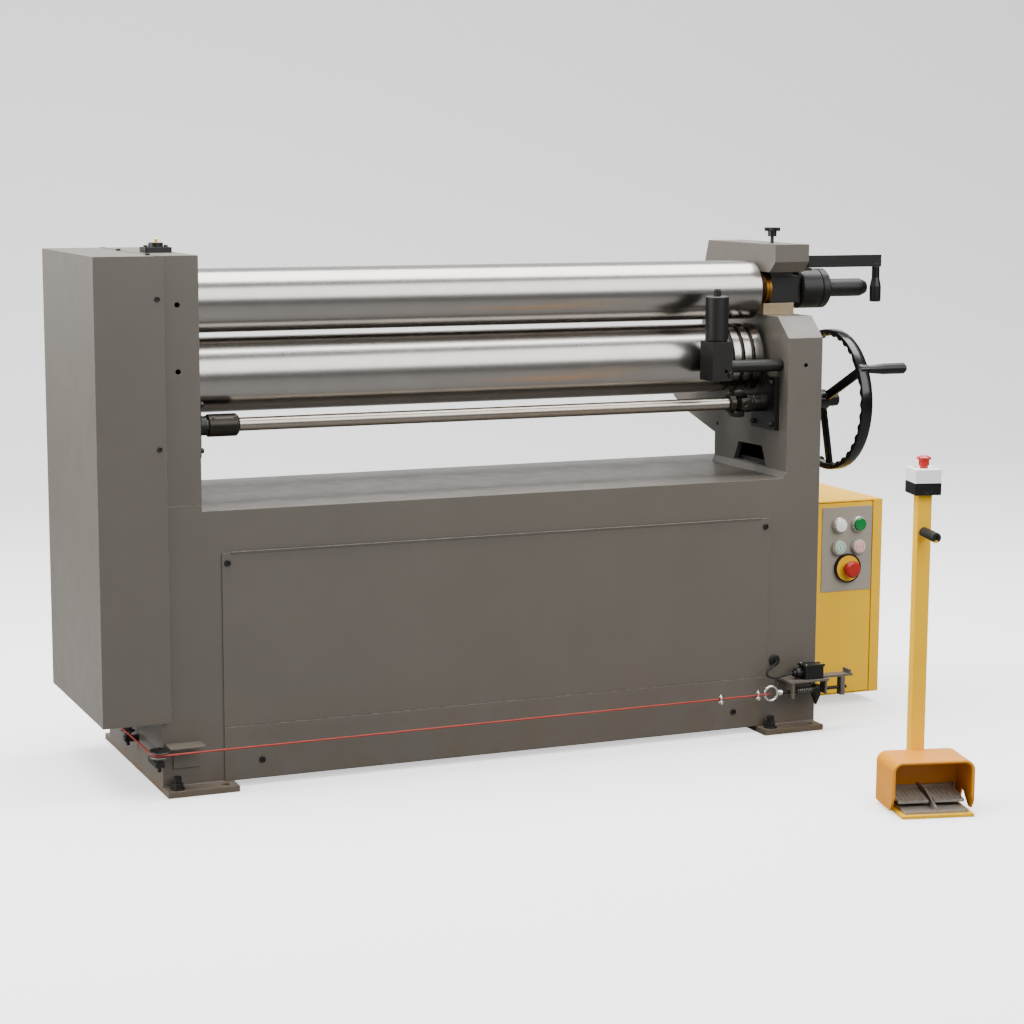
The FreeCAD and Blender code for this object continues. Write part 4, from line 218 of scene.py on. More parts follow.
def enamel(name, base, rubbed, roughness, peel=0.3, dirt=0.5, height=0.2, wear=0.8, gloss_coat=0.1):
    made, tree, shader = finish(name, Coat_Weight=gloss_coat, Coat_Roughness=0.25, Specular_IOR_Level=0.4)
    edge = fill(tree, edge_rub, {"Radius": 0.0016, "Wear": wear})
    toned = mottled(tree, base, scale=3.0, low=0.94, high=1.05)
    grubby = fill(tree, shop_dirt, {"Colour": toned, "Dirt": colour(92, 74, 54), "Height": height,
                                    "Amount": dirt})
    skin = blend_colour(tree, edge.outputs["Edge"], grubby.outputs["Colour"], rubbed)
    tree.links.new(skin, shader.inputs["Base Color"])
    gloss = fill(tree, clouded, {"Scale": 22.0, "Low": roughness - 0.06, "High": roughness + 0.06})
    tree.links.new(gloss.outputs["Value"], shader.inputs["Roughness"])
    place = wire(tree, "TexCoord")
    grain = wire(tree, "TexNoise", {"Vector": place.outputs["Object"], "Scale": 340.0, "Detail": 2.0})
    bump = wire(tree, "Bump", {"Height": grain.outputs["Fac"], "Normal": edge.outputs["Normal"],
                               "Strength": peel, "Distance": 0.0004})
    tree.links.new(bump.outputs["Normal"], shader.inputs["Normal"])
    return made


def coat(material, *names):
    for name in names:
        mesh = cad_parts[name].data
        mesh.materials.clear()
        mesh.materials.append(material)


body_paint = enamel("warm_grey_enamel", colour(92, 87, 80), colour(140, 134, 125), roughness=0.46)
foot_paint = enamel("foot_plate_paint", colour(96, 87, 76), colour(140, 130, 116), roughness=0.6, dirt=0.9,
                    height=0.03)
coat(body_paint, "base_frame", "front_panel", "left_frame", "right_frame", "gear_cover", "head_block",
     "switch_bracket")
coat(foot_paint, "foot_plates")


# ---- Welds and folded edges ----------------------------------------------------------------
# Fillet welds join the base to its foot plates. The cover's top sheet laps over the side frame,
# and the front panel has a pulled-out lip along its upper edge for the fingers.

def ready(name, shape, material, body, sharp=35):
    bmesh.ops.recalc_face_normals(shape, faces=shape.faces)
    mesh = bpy.data.meshes.new(name)
    shape.to_mesh(mesh)
    shape.free()
    for face in mesh.polygons:
        face.use_smooth = True
    mesh.set_sharp_from_angle(angle=radians(sharp))
    mesh.materials.append(material)
    made = bpy.data.objects.new(name, mesh)
    bpy.context.scene.collection.objects.link(made)
    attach(made, body)
    return made


def slab(shape, low, high, bevel, steps=2):
    low, high = Vector(low), Vector(high)
    size = high - low
    made = bmesh.ops.create_cube(shape, size=1.0)["verts"]
    for vert in made:
        vert.co = Vector((low[i] + (vert.co[i] + 0.5) * size[i] for i in range(3)))
    edges = list(dict.fromkeys(edge for vert in made for edge in vert.link_edges))
    bmesh.ops.bevel(shape, geom=edges, offset=bevel, segments=steps, affect="EDGES", profile=0.5)


def run_round(shape, line, radius, sides=10, ripple=0.0, pitch=0.0):
    line = [Vector(point) for point in line]
    rings = []
    lean = None
    travelled = 0.0
    for i, point in enumerate(line):
        before = line[i - 1] if i else point
        after = line[i + 1] if i + 1 < len(line) else point
        way = (after - before).normalized()
        lean = way.orthogonal() if lean is None else lean - way * lean.dot(way)
        lean.normalize()
        other = way.cross(lean)
        travelled += (point - before).length
        thick = radius * (1 + ripple * sin(travelled * tau / pitch)) if ripple else radius
        rings.append([shape.verts.new(point + (lean * cos(a) + other * sin(a)) * thick)
                      for a in (tau * k / sides for k in range(sides))])
    for first, second in zip(rings, rings[1:]):
        for k in range(sides):
            shape.faces.new((first[k], first[(k + 1) % sides], second[(k + 1) % sides], second[k]))
    shape.faces.new(rings[0])
    shape.faces.new(rings[-1])


foot_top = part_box("foot_plates")[1][2]
base_low, base_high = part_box("base_frame")
foot_width, weld_gap, weld_steps = 0.149, 0.003, 90
welds = bmesh.new()
for left in (base_low[0], base_high[0] - foot_width):
    for y in (base_low[1], base_high[1]):
        line = [(left + weld_gap + (foot_width - 2 * weld_gap) * i / weld_steps, y, foot_top)
                for i in range(weld_steps + 1)]
        run_round(welds, line, radius=0.0028, sides=8, ripple=0.13, pitch=0.0052)
ready("foot_welds", welds, body_paint, "machine", sharp=60)

panel_low, panel_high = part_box("front_panel")
lip_outline = [(0.0006, -0.0060), (-0.0012, -0.0020), (-0.0026, 0.0012), (-0.0020, 0.0022),
               (-0.0008, 0.0012), (0.0018, -0.0060)]
lip_left, lip_right = panel_low[0] + 0.019, panel_high[0] - 0.0214
lip = bmesh.new()
ends = [[lip.verts.new((x, panel_low[1] + y, panel_high[2] + z)) for y, z in lip_outline]
        for x in (lip_left, lip_right)]
for i in range(len(lip_outline)):
    j = (i + 1) % len(lip_outline)
    lip.faces.new((ends[0][i], ends[0][j], ends[1][j], ends[1][i]))
for end in ends:
    lip.faces.new(end)
ready("panel_finger_lip", lip, body_paint, "machine")

cover_low, cover_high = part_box("gear_cover")
lap_under, lap_over, lap_front, lap_back, lap_thick, seat = 0.001, 0.0095, 0.0003, 0.2140, 0.0014, 0.0004
lap = bmesh.new()
slab(lap, (base_low[0] - lap_under, cover_low[1] + lap_front, cover_high[2] - seat),
     (base_low[0] + lap_over, lap_back, cover_high[2] + lap_thick), bevel=0.0006)
ready("cover_top_lap", lap, body_paint, "machine")


# ---- Screws in the sheet metal -------------------------------------------------------------
# Blackened socket screws hold the front panel and the gear cover. They were fitted after painting,
# so their heads stay black against the grey.

def lathe(shape, outline, place, axis, steps=24):
    axis = Vector(axis).normalized()
    side = axis.orthogonal().normalized()
    other = axis.cross(side)
    rings = []
    for along, radius, *corners in outline:
        centre = Vector(place) + axis * along
        if radius == 0:
            rings.append([shape.verts.new(centre)])
            continue
        ring = []
        for k in range(steps):
            angle = tau * k / steps
            reach = radius
            if corners:
                half = pi / corners[0]
                reach *= cos(half) / cos(angle % (2 * half) - half)
            ring.append(shape.verts.new(centre + (side * cos(angle) + other * sin(angle)) * reach))
        rings.append(ring)
    for first, second in zip(rings, rings[1:]):
        for k in range(steps):
            j = (k + 1) % steps
            corner = [first[k % len(first)], first[j % len(first)],
                      second[j % len(second)], second[k % len(second)]]
            corner = list(dict.fromkeys(corner))
            if len(corner) > 2:
                shape.faces.new(corner)


def socket_screw(shape, place, axis, radius, height):
    lathe(shape, [(-0.001, 0), (-0.001, radius), (height * 0.78, radius), (height, radius * 0.84),
                  (height, radius * 0.58, 6), (height * 0.35, radius * 0.54, 6), (height * 0.25, 0)],
          place, axis)


def hex_head(shape, place, axis, radius, height):
    lathe(shape, [(-0.0005, 0), (-0.0005, radius, 6), (height * 0.82, radius, 6), (height, radius * 0.84),
                  (height, 0)], place, axis)


def metal(name, base, rubbed, roughness, lines, metallic=1.0, wear=0.7, depth=0.08, mottle=1.0):
    made, tree, shader = finish(name, Metallic=metallic)
    edge = fill(tree, edge_rub, {"Radius": 0.0008, "Wear": wear})
    toned = mottled(tree, base, scale=14.0, low=1.0 - 0.14 * mottle, high=1.0 + 0.1 * mottle)
    skin = blend_colour(tree, edge.outputs["Edge"], toned, rubbed)
    tree.links.new(skin, shader.inputs["Base Color"])
    place = wire(tree, "TexCoord")
    tool = wire(tree, "Mapping", {"Vector": place.outputs["Object"], "Scale": lines})
    mark = wire(tree, "TexNoise", {"Vector": tool.outputs["Vector"], "Scale": 1.0, "Detail": 4.0})
    gloss = wire(tree, "MapRange", {"Value": mark.outputs["Fac"], "From Min": 0.25, "From Max": 0.75,
                                    "To Min": roughness - 0.07 * mottle, "To Max": roughness + 0.09 * mottle})
    tree.links.new(gloss.outputs["Result"], shader.inputs["Roughness"])
    bump = wire(tree, "Bump", {"Height": mark.outputs["Fac"], "Normal": edge.outputs["Normal"],
                               "Strength": depth, "Distance": 0.0003})
    tree.links.new(bump.outputs["Normal"], shader.inputs["Normal"])
    return made


black_steel = metal("blackened_steel", colour(21, 19, 17), colour(84, 78, 70), roughness=0.46,
                    lines=(260, 260, 260), metallic=0.2)
to_front, to_top = (0, -1, 0), (0, 0, 1)
panel_screws = ((-0.6674, 0.4653), (0.5709, 0.4671), (-0.5991, 0.0522), (0.4975, 0.0522))
cover_screw_heights, cover_screw_depths = (0.9998, 0.7034), (0.042, -0.195)
cover_screw_radius, cover_screw_height, cover_screw_seat = 0.0052, 0.0032, 0.001
cover_front_x, cover_top_x = base_low[0] + 0.0026, base_low[0] - 0.0035
sheet_screws = bmesh.new()
for x, z in panel_screws:
    socket_screw(sheet_screws, (x, panel_low[1], z), to_front, radius=0.0066, height=0.0035)
for z in cover_screw_heights:
    socket_screw(sheet_screws, (cover_front_x, cover_low[1], z), to_front, radius=cover_screw_radius,
                 height=cover_screw_height)
for y in cover_screw_depths:
    socket_screw(sheet_screws, (cover_top_x, y, cover_high[2] + cover_screw_seat), to_top,
                 radius=cover_screw_radius, height=cover_screw_height)
ready("sheet_screws", sheet_screws, black_steel, "machine")


# ---- Blackened steel parts -----------------------------------------------------------------
# Forged and machined steel, chemically blackened and oiled: bolts, jacks, housings, the lever and
# the guide roller's arm. Corners that hands and spanners touch show bare metal.

def repaint(name, material, chosen):
    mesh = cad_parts[name].data
    mesh.materials.append(material)
    for face in mesh.polygons:
        if chosen(face.center):
            face.material_index = len(mesh.materials) - 1


def middle(node):
    low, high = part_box(node)
    return (low + high) / 2


bare_steel = metal("bare_saddle_steel", colour(168, 150, 122), colour(206, 198, 184), roughness=0.4,
                   lines=(60, 300, 300))
brass = metal("nipple_brass", colour(206, 168, 70), colour(228, 204, 130), roughness=0.3,
              lines=(300, 300, 300))
coat(black_steel, "levelling_bolts", "screw_jacks", "bearing_plates", "top_bearing_block",
     "bearing_housing", "bearing_cap", "lock_lever", "cone_arm", "cone_roller", "pulley_brackets")
window_left, window_right, window_top, window_front = 0.6335, 0.6965, 0.6, -0.22
saddle_top, cap_top, head_face = 0.9476, 1.1038, 0.7084
angle_left, angle_back, washer_top, washer_front, washer_back = -0.8025, -0.2255, 0.0745, -0.2362, -0.2305
# The faces inside the right frame's window get blackened steel as painted shade in the opening.
repaint("right_frame", black_steel, lambda spot: window_left < spot.x < window_right
        and spot.z < window_top and spot.y > window_front)
repaint("top_bearing_block", bare_steel, lambda spot: spot.z < saddle_top)
repaint("bearing_cap", brass, lambda spot: spot.z > cap_top)
repaint("head_block", black_steel, lambda spot: spot.x > head_face)
repaint("pulley_brackets", body_paint, lambda spot: spot.x > angle_left and spot.y < angle_back
        and not (spot.z < washer_top and washer_front < spot.y < washer_back))

plates_low, plates_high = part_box("bearing_plates")
plate_thick, screw_inset = 0.012, 0.013
front, back = plates_low[1] + screw_inset, plates_high[1] - screw_inset
lower, upper = plates_low[2] + screw_inset, plates_high[2] - screw_inset
plate_screws = bmesh.new()
for x, way in ((plates_low[0] + plate_thick, 1), (plates_high[0] - plate_thick, -1)):
    for y, z in ((front, lower), (front, upper), (back, lower)):
        socket_screw(plate_screws, (x, y, z), (way, 0, 0), radius=0.0056, height=0.0078)
ready("plate_screws", plate_screws, black_steel, "machine")

clamp_low, clamp_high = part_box("cone_arm")
post = middle("cone_roller")
clamp_screw_x, clamp_screw_z = clamp_low[0] + 0.044, 0.8085
clamp_screws = bmesh.new()
socket_screw(clamp_screws, (clamp_screw_x, clamp_low[1], clamp_screw_z), to_front, radius=0.0058,
             height=0.005)
hex_head(clamp_screws, (post.x, post.y, clamp_high[2] - seat), to_top, radius=0.0062, height=0.0036)
ready("clamp_screws", clamp_screws, black_steel, "cone_arm")

pin_low, pin_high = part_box("head_hinge_pin")
hinge_y, hinge_z = 0.145, 1.0
pin_end_outline = [(-0.0005, 0), (-0.0005, 0.0145), (0.0006, 0.0145), (0.0012, 0.0138), (0.0012, 0.0032),
                   (0.0002, 0.0024), (0.0002, 0)]
hinge_ends = bmesh.new()
for x, way in ((pin_low[0], -1), (pin_high[0], 1)):
    lathe(hinge_ends, pin_end_outline, (x, hinge_y, hinge_z), (way, 0, 0), steps=32)
ready("hinge_pin_ends", hinge_ends, bare_steel, "machine")

lever_pin_place = (0.723, -0.11, 1.061)
lever_nut_outline = [(-0.0004, 0), (-0.0004, 0.0098), (0.0014, 0.0098), (0.0014, 0.0082), (0.0016, 0.0082),
                     (0.0052, 0.008), (0.0066, 0.0068), (0.0066, 0)]
lever_pin = bmesh.new()
lathe(lever_pin, lever_nut_outline, lever_pin_place, to_top, steps=24)
ready("lever_pin_nut", lever_pin, black_steel, "head")


# ---- Rolls ---------------------------------------------------------------------------------
# Three ground alloy steel rolls. The wheel marks run round them, so the light draws out in long
# bands. The pinch roll has grooves near its right end for rod, painted dark inside as painted shade.

roll_steel = metal("ground_roll_steel", colour(158, 154, 149), colour(196, 193, 188), roughness=0.24,
                   lines=(500, 2, 2), wear=0.3, depth=0.015, mottle=0.35)
groove_shade_steel = metal("groove_shadow_steel", colour(52, 46, 40), colour(120, 112, 102), roughness=0.4,
                     lines=(200, 200, 200), metallic=0.8)
machined_steel = metal("machined_steel", colour(165, 162, 156), colour(205, 203, 198), roughness=0.34,
                       lines=(40, 300, 300))
coat(roll_steel, "top_roll", "lower_roll", "rear_roll")
coat(machined_steel, "slide_gibs", "lower_bearing_blocks", "rear_bearing_blocks", "head_hinge_pin")
nose_start, grooves_start, grooves_end, groove_wall = 0.8005, 0.51, 0.6, 0.0768
pinch = middle("lower_roll")
repaint("top_roll", black_steel, lambda spot: spot.x > nose_start)
# Faces inside the grooves get the dark steel as painted shade.
repaint("lower_roll", groove_shade_steel, lambda spot: grooves_start < spot.x < grooves_end
        and hypot(spot.y - pinch.y, spot.z - pinch.z) < groove_wall)


# ---- Gears, bushes and drive ---------------------------------------------------------------
# Hobbed steel gears with a film of grease, cast bronze bushes, and a geared motor in grey primer.
# The right bush ends in a flange with a narrow groove turned round it.

gear_steel = metal("greased_gear_steel", colour(132, 122, 104), colour(190, 184, 172), roughness=0.3,
                   lines=(220, 60, 60))
bronze = metal("cast_bronze", colour(122, 86, 40), colour(176, 136, 76), roughness=0.42,
               lines=(300, 40, 40))
motor_paint = enamel("motor_primer", colour(84, 92, 96), colour(130, 136, 138), roughness=0.5, dirt=0.4,
                     height=0.4)
coat(gear_steel, "top_roll_gears", "lower_roll_gear", "idler_gear", "drive_pinion")
coat(bronze, "roll_bushes")
coat(motor_paint, "geared_motor")
to_right = (1, 0, 0)
bush, flange_start = middle("roll_bushes"), 0.6325
flange_outline = [(0, 0.0300), (0, 0.0385), (0.0010, 0.0395), (0.0060, 0.0395), (0.0067, 0.0385),
                  (0.0067, 0.0372), (0.0075, 0.0372), (0.0075, 0.0392), (0.0137, 0.0392), (0.0137, 0.0300),
                  (0, 0.0300)]
flange = bmesh.new()
lathe(flange, flange_outline, (flange_start, bush.y, bush.z), to_right, steps=64)
ready("bush_flange", flange, bronze, "machine")


# ---- Cross shaft and its couplings ---------------------------------------------------------
# A bright drawn shaft turns both screw jacks. A sleeve with two set screws clamps its left end, and
# a universal joint of two forged yokes and a cross, oiled and dark, drives it at its right end.

shaft_steel = metal("drawn_shaft_steel", colour(150, 142, 132), colour(196, 190, 182), roughness=0.28,
                    lines=(4, 420, 420), mottle=0.6)
dark_steel = metal("oiled_dark_steel", colour(46, 42, 38), colour(140, 132, 122), roughness=0.34,
                   lines=(320, 60, 60), metallic=0.7)
coat(shaft_steel, "cross_shaft", "rear_feed_shaft")
coat(dark_steel, "shaft_couplings", "trip_rod")

shaft_y, shaft_z = middle("cross_shaft").yz
sleeve_start, sleeve_radius, screw_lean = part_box("shaft_couplings")[0][0], 0.0225, 0.87
sleeve_outline = [(0, 0.0145), (0, 0.0225), (0.001, 0.0235), (0.060, 0.0235), (0.065, 0.0185),
                  (0.065, 0.0145), (0, 0.0145)]
couplings = bmesh.new()
lathe(couplings, sleeve_outline, (sleeve_start, shaft_y, shaft_z), to_right, steps=40)
for x in (sleeve_start + 0.009, sleeve_start + 0.056):
    seat_y, seat_z = shaft_y - sleeve_radius * cos(screw_lean), shaft_z + sleeve_radius * sin(screw_lean)
    socket_screw(couplings, (x, seat_y, seat_z), (0, -cos(screw_lean), sin(screw_lean)), radius=0.0042,
                 height=0.0022)

joint_middle, joint_half, joint_core = 0.5475, 0.0285, 0.011
yoke_reach, yoke_inner, yoke_half, yoke_root, yoke_tip = 0.030, 0.0155, 0.0135, 0.010, 0.0085
hub_outline = [(0, 0.0135), (0, 0.0190), (0.002, 0.0210), (0.0135, 0.0210), (0.0135, 0.0135), (0, 0.0135)]
pin_cap_outline = [(-0.002, 0), (-0.002, 0.0085), (0.0005, 0.0085), (0.0012, 0.0078), (0.0012, 0.0058),
                   (0.0004, 0.005), (0.0004, 0)]
joint_centre = Vector((joint_middle, shaft_y, shaft_z))
for way, upright in ((1, True), (-1, False)):
    hub_end = joint_middle - way * joint_half
    lathe(couplings, hub_outline, (hub_end, shaft_y, shaft_z), (way, 0, 0), steps=40)
    left, right = sorted((hub_end + way * yoke_root, joint_middle + way * yoke_tip))
    for side in (-1, 1):
        near, far = sorted((side * yoke_inner, side * yoke_reach))
        low, high = (-yoke_half, near), (yoke_half, far)
        if not upright:
            low, high = low[::-1], high[::-1]
        slab(couplings, (left, shaft_y + low[0], shaft_z + low[1]),
             (right, shaft_y + high[0], shaft_z + high[1]), bevel=0.0022)
        out = Vector((0, 0, side)) if upright else Vector((0, side, 0))
        lathe(couplings, pin_cap_outline, joint_centre + out * yoke_reach, out)
slab(couplings, (joint_middle - 0.009, shaft_y - joint_core, shaft_z - joint_core),
     (joint_middle + 0.009, shaft_y + joint_core, shaft_z + joint_core), bevel=0.002)
for out in (Vector((0, 1, 0)), Vector((0, 0, 1))):
    run_round(couplings, [joint_centre + out * reach for reach in (-0.029, 0.029)], radius=0.0052, sides=20)

collar_start = 0.5765
collar_outline = [(0, 0.0135), (0, 0.0185), (0.0015, 0.0200), (0.0185, 0.0200), (0.0200, 0.0185),
                  (0.0200, 0.0135), (0, 0.0135)]
lathe(couplings, collar_outline, (collar_start, shaft_y, shaft_z), to_right, steps=40)
joints = ready("shaft_joints", couplings, dark_steel, "handwheel")
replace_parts(joints, "shaft_couplings")


# ---- Hand wheels ---------------------------------------------------------------------------
# Cast iron dipped in gloss black: a dished wheel of three spokes, with dips for the fingers round
# the inside of its rim, a nut on its hub and a turned plastic grip on a stud.

gloss_black = enamel("gloss_black_enamel", colour(13, 12, 12), colour(60, 57, 54), roughness=0.2, peel=0.05,
                     dirt=0.0)
black_plastic = enamel("black_phenolic", colour(16, 15, 15), colour(40, 39, 38), roughness=0.36, peel=0.06,
                       dirt=0.0, gloss_coat=0.0)
coat(gloss_black, "handwheel")
coat(black_plastic, "handwheel_grip", "star_knob", "lever_grip", "limit_switch")
rear_wheel_start = 0.7125
repaint("rear_feed_shaft", gloss_black, lambda spot: spot.x > rear_wheel_start)

rim_x, rim_radius, rim_deep, rim_half, dish = 0.7855, 0.160, 0.015, 0.0135, 0.021
spokes, spoke_gap, spoke_start = 3, 120, radians(149)
finger_dips, dip_steps, dip_depth, plain_by_spoke = 36, 10, 0.0048, 9
rim_steps = finger_dips * dip_steps
hand_rim = bmesh.new()
rings = []
for k in range(rim_steps):
    angle = spoke_start + tau * k / rim_steps
    to_spoke = abs((k * spokes / rim_steps + 0.5) % 1 - 0.5) * spoke_gap
    dip = 0.0
    if to_spoke > plain_by_spoke:
        dip = max(0.0, 1 - (2 * ((k / dip_steps) % 1) - 1) ** 2 * 1.9) * dip_depth
    inner = rim_radius - rim_deep + dip
    corners = [(-rim_half, inner + 0.002), (-rim_half, rim_radius - 0.004),
               (-rim_half + 0.0012, rim_radius - 0.0012), (-rim_half + 0.004, rim_radius),
               (rim_half - 0.004, rim_radius), (rim_half - 0.0012, rim_radius - 0.0012),
               (rim_half, rim_radius - 0.004), (rim_half, inner + 0.002), (rim_half - 0.002, inner),
               (-rim_half + 0.002, inner)]
    rings.append([hand_rim.verts.new((rim_x + x, shaft_y + out * cos(angle), shaft_z + out * sin(angle)))
                  for x, out in corners])
for first, second in zip(rings, rings[1:] + rings[:1]):
    for k in range(len(first)):
        j = (k + 1) % len(first)
        hand_rim.faces.new((first[k], first[j], second[j], second[k]))

spoke_half, spoke_wide, spoke_root, spoke_tip, boss_radius = 0.0045, 0.011, 0.004, 0.151, 0.022
for number in range(spokes):
    angle = spoke_start + tau * number / spokes
    known = set(hand_rim.verts)
    slab(hand_rim, (-spoke_half, spoke_root, -spoke_wide), (spoke_half, spoke_tip, spoke_wide), bevel=0.0032,
         steps=3)
    for vert in hand_rim.verts:
        if vert not in known:
            x, out, across = vert.co
            x += rim_x - dish * (1 - max(0.0, out - boss_radius) / (spoke_tip - boss_radius))
            vert.co = (x, shaft_y + out * cos(angle) - across * sin(angle),
                       shaft_z + out * sin(angle) + across * cos(angle))
boss_outline = [(0.714, 0.0145), (0.714, 0.0215), (0.7155, 0.0240), (0.754, 0.0240), (0.768, 0.0235),
                (0.7690, 0.0215), (0.7690, 0.0145), (0.714, 0.0145)]
lathe(hand_rim, boss_outline, (0, shaft_y, shaft_z), to_right, steps=40)
grip_end_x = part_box("handwheel_grip")[1][0]
grip_y, grip_z = middle("handwheel_grip").yz
stud_outline = [(0.777, 0), (0.777, 0.011), (0.7995, 0.011), (0.8010, 0.0095), (0.8010, 0.005),
                (0.880, 0.005), (0.880, 0)]
lathe(hand_rim, stud_outline, (0, grip_y, grip_z), to_right, steps=32)
wheel = ready("dished_handwheel", hand_rim, gloss_black, "handwheel", sharp=42)
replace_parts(wheel, "handwheel")

end_nut_outline = [(0.768, 0.0150), (0.768, 0.0205), (0.7735, 0.0205), (0.7745, 0.0195), (0.7745, 0.0170, 6),
                   (0.796, 0.0170, 6), (0.8000, 0.0150), (0.8000, 0)]
end_nut = bmesh.new()
lathe(end_nut, end_nut_outline, (0, shaft_y, shaft_z), to_right, steps=48)
ready("shaft_end_nut", end_nut, black_steel, "handwheel")

plug_outline = [(-0.0006, 0), (-0.0006, 0.0052), (0.0004, 0.0052), (0.0009, 0.0046), (0.0009, 0)]
grip_end = bmesh.new()
lathe(grip_end, plug_outline, (grip_end_x, grip_y, grip_z), to_right)
ready("grip_end_plug", grip_end, shaft_steel, "handwheel_grip")


# ---- Control cabinet -----------------------------------------------------------------------
# A folded sheet steel box with a hinged door, powder coated in safety yellow. The plate on the door
# carries two lamps, start and stop buttons and the stop mushroom, each with its bezel.

yellow_paint = enamel("safety_yellow_coat", colour(240, 184, 4), colour(244, 204, 70), roughness=0.5,
                      dirt=0.25, height=0.1, wear=0.3, gloss_coat=0.0)
control_face = enamel("anodised_face_plate", colour(150, 142, 130), colour(186, 180, 170), roughness=0.4,
                      dirt=0.0, peel=0.05)


def moulded(name, base, low, high, rough=0.24):
    made, tree, shader = finish(name, Roughness=rough, Coat_Weight=0.2, Coat_Roughness=0.12)
    toned = mottled(tree, base, scale=60.0, low=low, high=high)
    tree.links.new(toned, shader.inputs["Base Color"])
    return made


white_lens = moulded("white_lamp_lens", colour(250, 250, 244), low=0.86, high=1.0)
green_lens = moulded("green_lamp_lens", colour(8, 120, 54), low=0.85, high=1.1)
start_cap = moulded("pale_green_cap", colour(196, 214, 198), low=0.9, high=1.02)
stop_cap = moulded("pale_red_cap", colour(226, 202, 196), low=0.9, high=1.02)
green_mark = moulded("green_mark", colour(60, 132, 88), low=0.9, high=1.1, rough=0.4)
red_mark = moulded("red_mark", colour(206, 62, 54), low=0.9, high=1.1, rough=0.4)
bezel_ring = metal("satin_bezel", colour(196, 193, 186), colour(226, 224, 218), roughness=0.3,
                   lines=(400, 40, 400), metallic=0.6)
red_plastic = enamel("red_plastic", colour(172, 34, 26), colour(196, 74, 60), roughness=0.34, peel=0.04,
                     dirt=0.0)
coat(yellow_paint, "cabinet", "cabinet_door", "pedestal_stand")
coat(control_face, "control_plate")
coat(red_plastic, "panel_stop", "pedestal_stop")

door_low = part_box("cabinet_door")[0]
plate_face, skin = door_low[1] - 0.0020, 0.0002
mushroom = middle("panel_stop")
left_column, right_column = 0.8555, 0.9078
lamp_row, button_row = 0.4313, middle("start_button").z
bezel_outline = [(-0.0005, 0.0157), (-0.0005, 0.0182), (0.0088, 0.0182), (0.0104, 0.0172),
                 (0.0110, 0.0162), (0.0110, 0.0157), (-0.0005, 0.0157)]
bezels = bmesh.new()
for x in (left_column, right_column):
    for z in (lamp_row, button_row):
        lathe(bezels, bezel_outline, (x, plate_face, z), to_front, steps=40)
ready("lamp_bezels", bezels, bezel_ring, "cabinet_door")


def round_top(shape, x, z, height):
    lathe(shape, [(0.0117, 0), (0.0117, 0.0151), (height - 0.0020, 0.0151), (height - 0.0006, 0.0143),
                  (height, 0.0125), (height, 0)], (x, plate_face, z), to_front, steps=40)


lamp_height, cap_height, between_columns = 0.0165, 0.0138, 0.88
lamp_glass = bmesh.new()
round_top(lamp_glass, left_column, lamp_row, lamp_height)
round_top(lamp_glass, right_column, lamp_row, lamp_height)
lamps = ready("lamp_lenses", lamp_glass, white_lens, "cabinet_door")
lamps.data.materials.append(green_lens)
for face in lamps.data.polygons:
    face.material_index = int(face.center.x > between_columns)
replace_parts(lamps, "pilot_lamps")
for name, x, cap, body, slot in (("start_cap", left_column, start_cap, "start_button", "green_button"),
                                 ("stop_cap", right_column, stop_cap, "stop_button", "red_button")):
    shape = bmesh.new()
    round_top(shape, x, button_row, cap_height)
    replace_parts(ready(name, shape, cap, body), body)

disc_radius, disc_edge = 0.0305, 0.0345


def from_stop(spot):
    return hypot(spot.x - mushroom.x, spot.z - mushroom.z)


def raised(spot):
    return spot.y < plate_face - skin


repaint("control_plate", yellow_paint, lambda spot: raised(spot) and from_stop(spot) < disc_radius)
repaint("control_plate", black_plastic,
        lambda spot: raised(spot) and disc_radius <= from_stop(spot) < disc_edge)

cap_face, bar_half_wide, bar_half_tall = plate_face - cap_height, 0.0011, 0.0045


def ring_mark(shape, x, inner, outer):
    outline = [(-0.0002, inner), (-0.0002, outer), (0.0003, outer), (0.0003, inner), (-0.0002, inner)]
    lathe(shape, outline, (x, cap_face, button_row), to_front, steps=40)


ring_inner, ring_outer, dot_inner, dot_outer = 0.0094, 0.0108, 0.0030, 0.0046
start_mark = bmesh.new()
slab(start_mark, (left_column - bar_half_wide, cap_face - 0.0003, button_row - bar_half_tall),
     (left_column + bar_half_wide, cap_face + 0.0002, button_row + bar_half_tall), bevel=0.0002, steps=1)
ring_mark(start_mark, left_column, ring_inner, ring_outer)
ready("start_mark", start_mark, green_mark, "start_button")
stop_mark = bmesh.new()
ring_mark(stop_mark, right_column, dot_inner, dot_outer)
ring_mark(stop_mark, right_column, ring_inner, ring_outer)
ready("stop_mark", stop_mark, red_mark, "stop_button")

lock_x, lock_z = door_low[0] + 0.030, 0.235
lock_outline = [(-0.001, 0), (-0.001, 0.0125), (0.0018, 0.0125), (0.0028, 0.0115), (0.0028, 0.0085),
                (0.0016, 0.0080), (0.0016, 0)]
door_lock = bmesh.new()
lathe(door_lock, lock_outline, (lock_x, door_low[1], lock_z), to_front, steps=32)
slab(door_lock, (lock_x - 0.0015, door_low[1] - 0.0042, lock_z - 0.0055),
     (lock_x + 0.0015, door_low[1], lock_z + 0.0055), bevel=0.0004)
ready("door_lock", door_lock, black_plastic, "cabinet_door")

cabinet_low, cabinet_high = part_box("cabinet")
lid_skin = bmesh.new()
slab(lid_skin, (cabinet_low[0] + 0.0004, cabinet_low[1] + 0.004, cabinet_high[2] - seat),
     (cabinet_high[0] - 0.0012, cabinet_high[1] - 0.0010, cabinet_high[2] + 0.0012), bevel=0.0006)
ready("cabinet_lid_skin", lid_skin, yellow_paint, "machine")


# ---- Pull wire and trip switch -------------------------------------------------------------
# A red plastic covered steel wire runs round two pulleys to an eye bolt that works a limit switch.
# Two zinc plated wire grips clamp its end into a loop, and a rubber lead goes into the base.

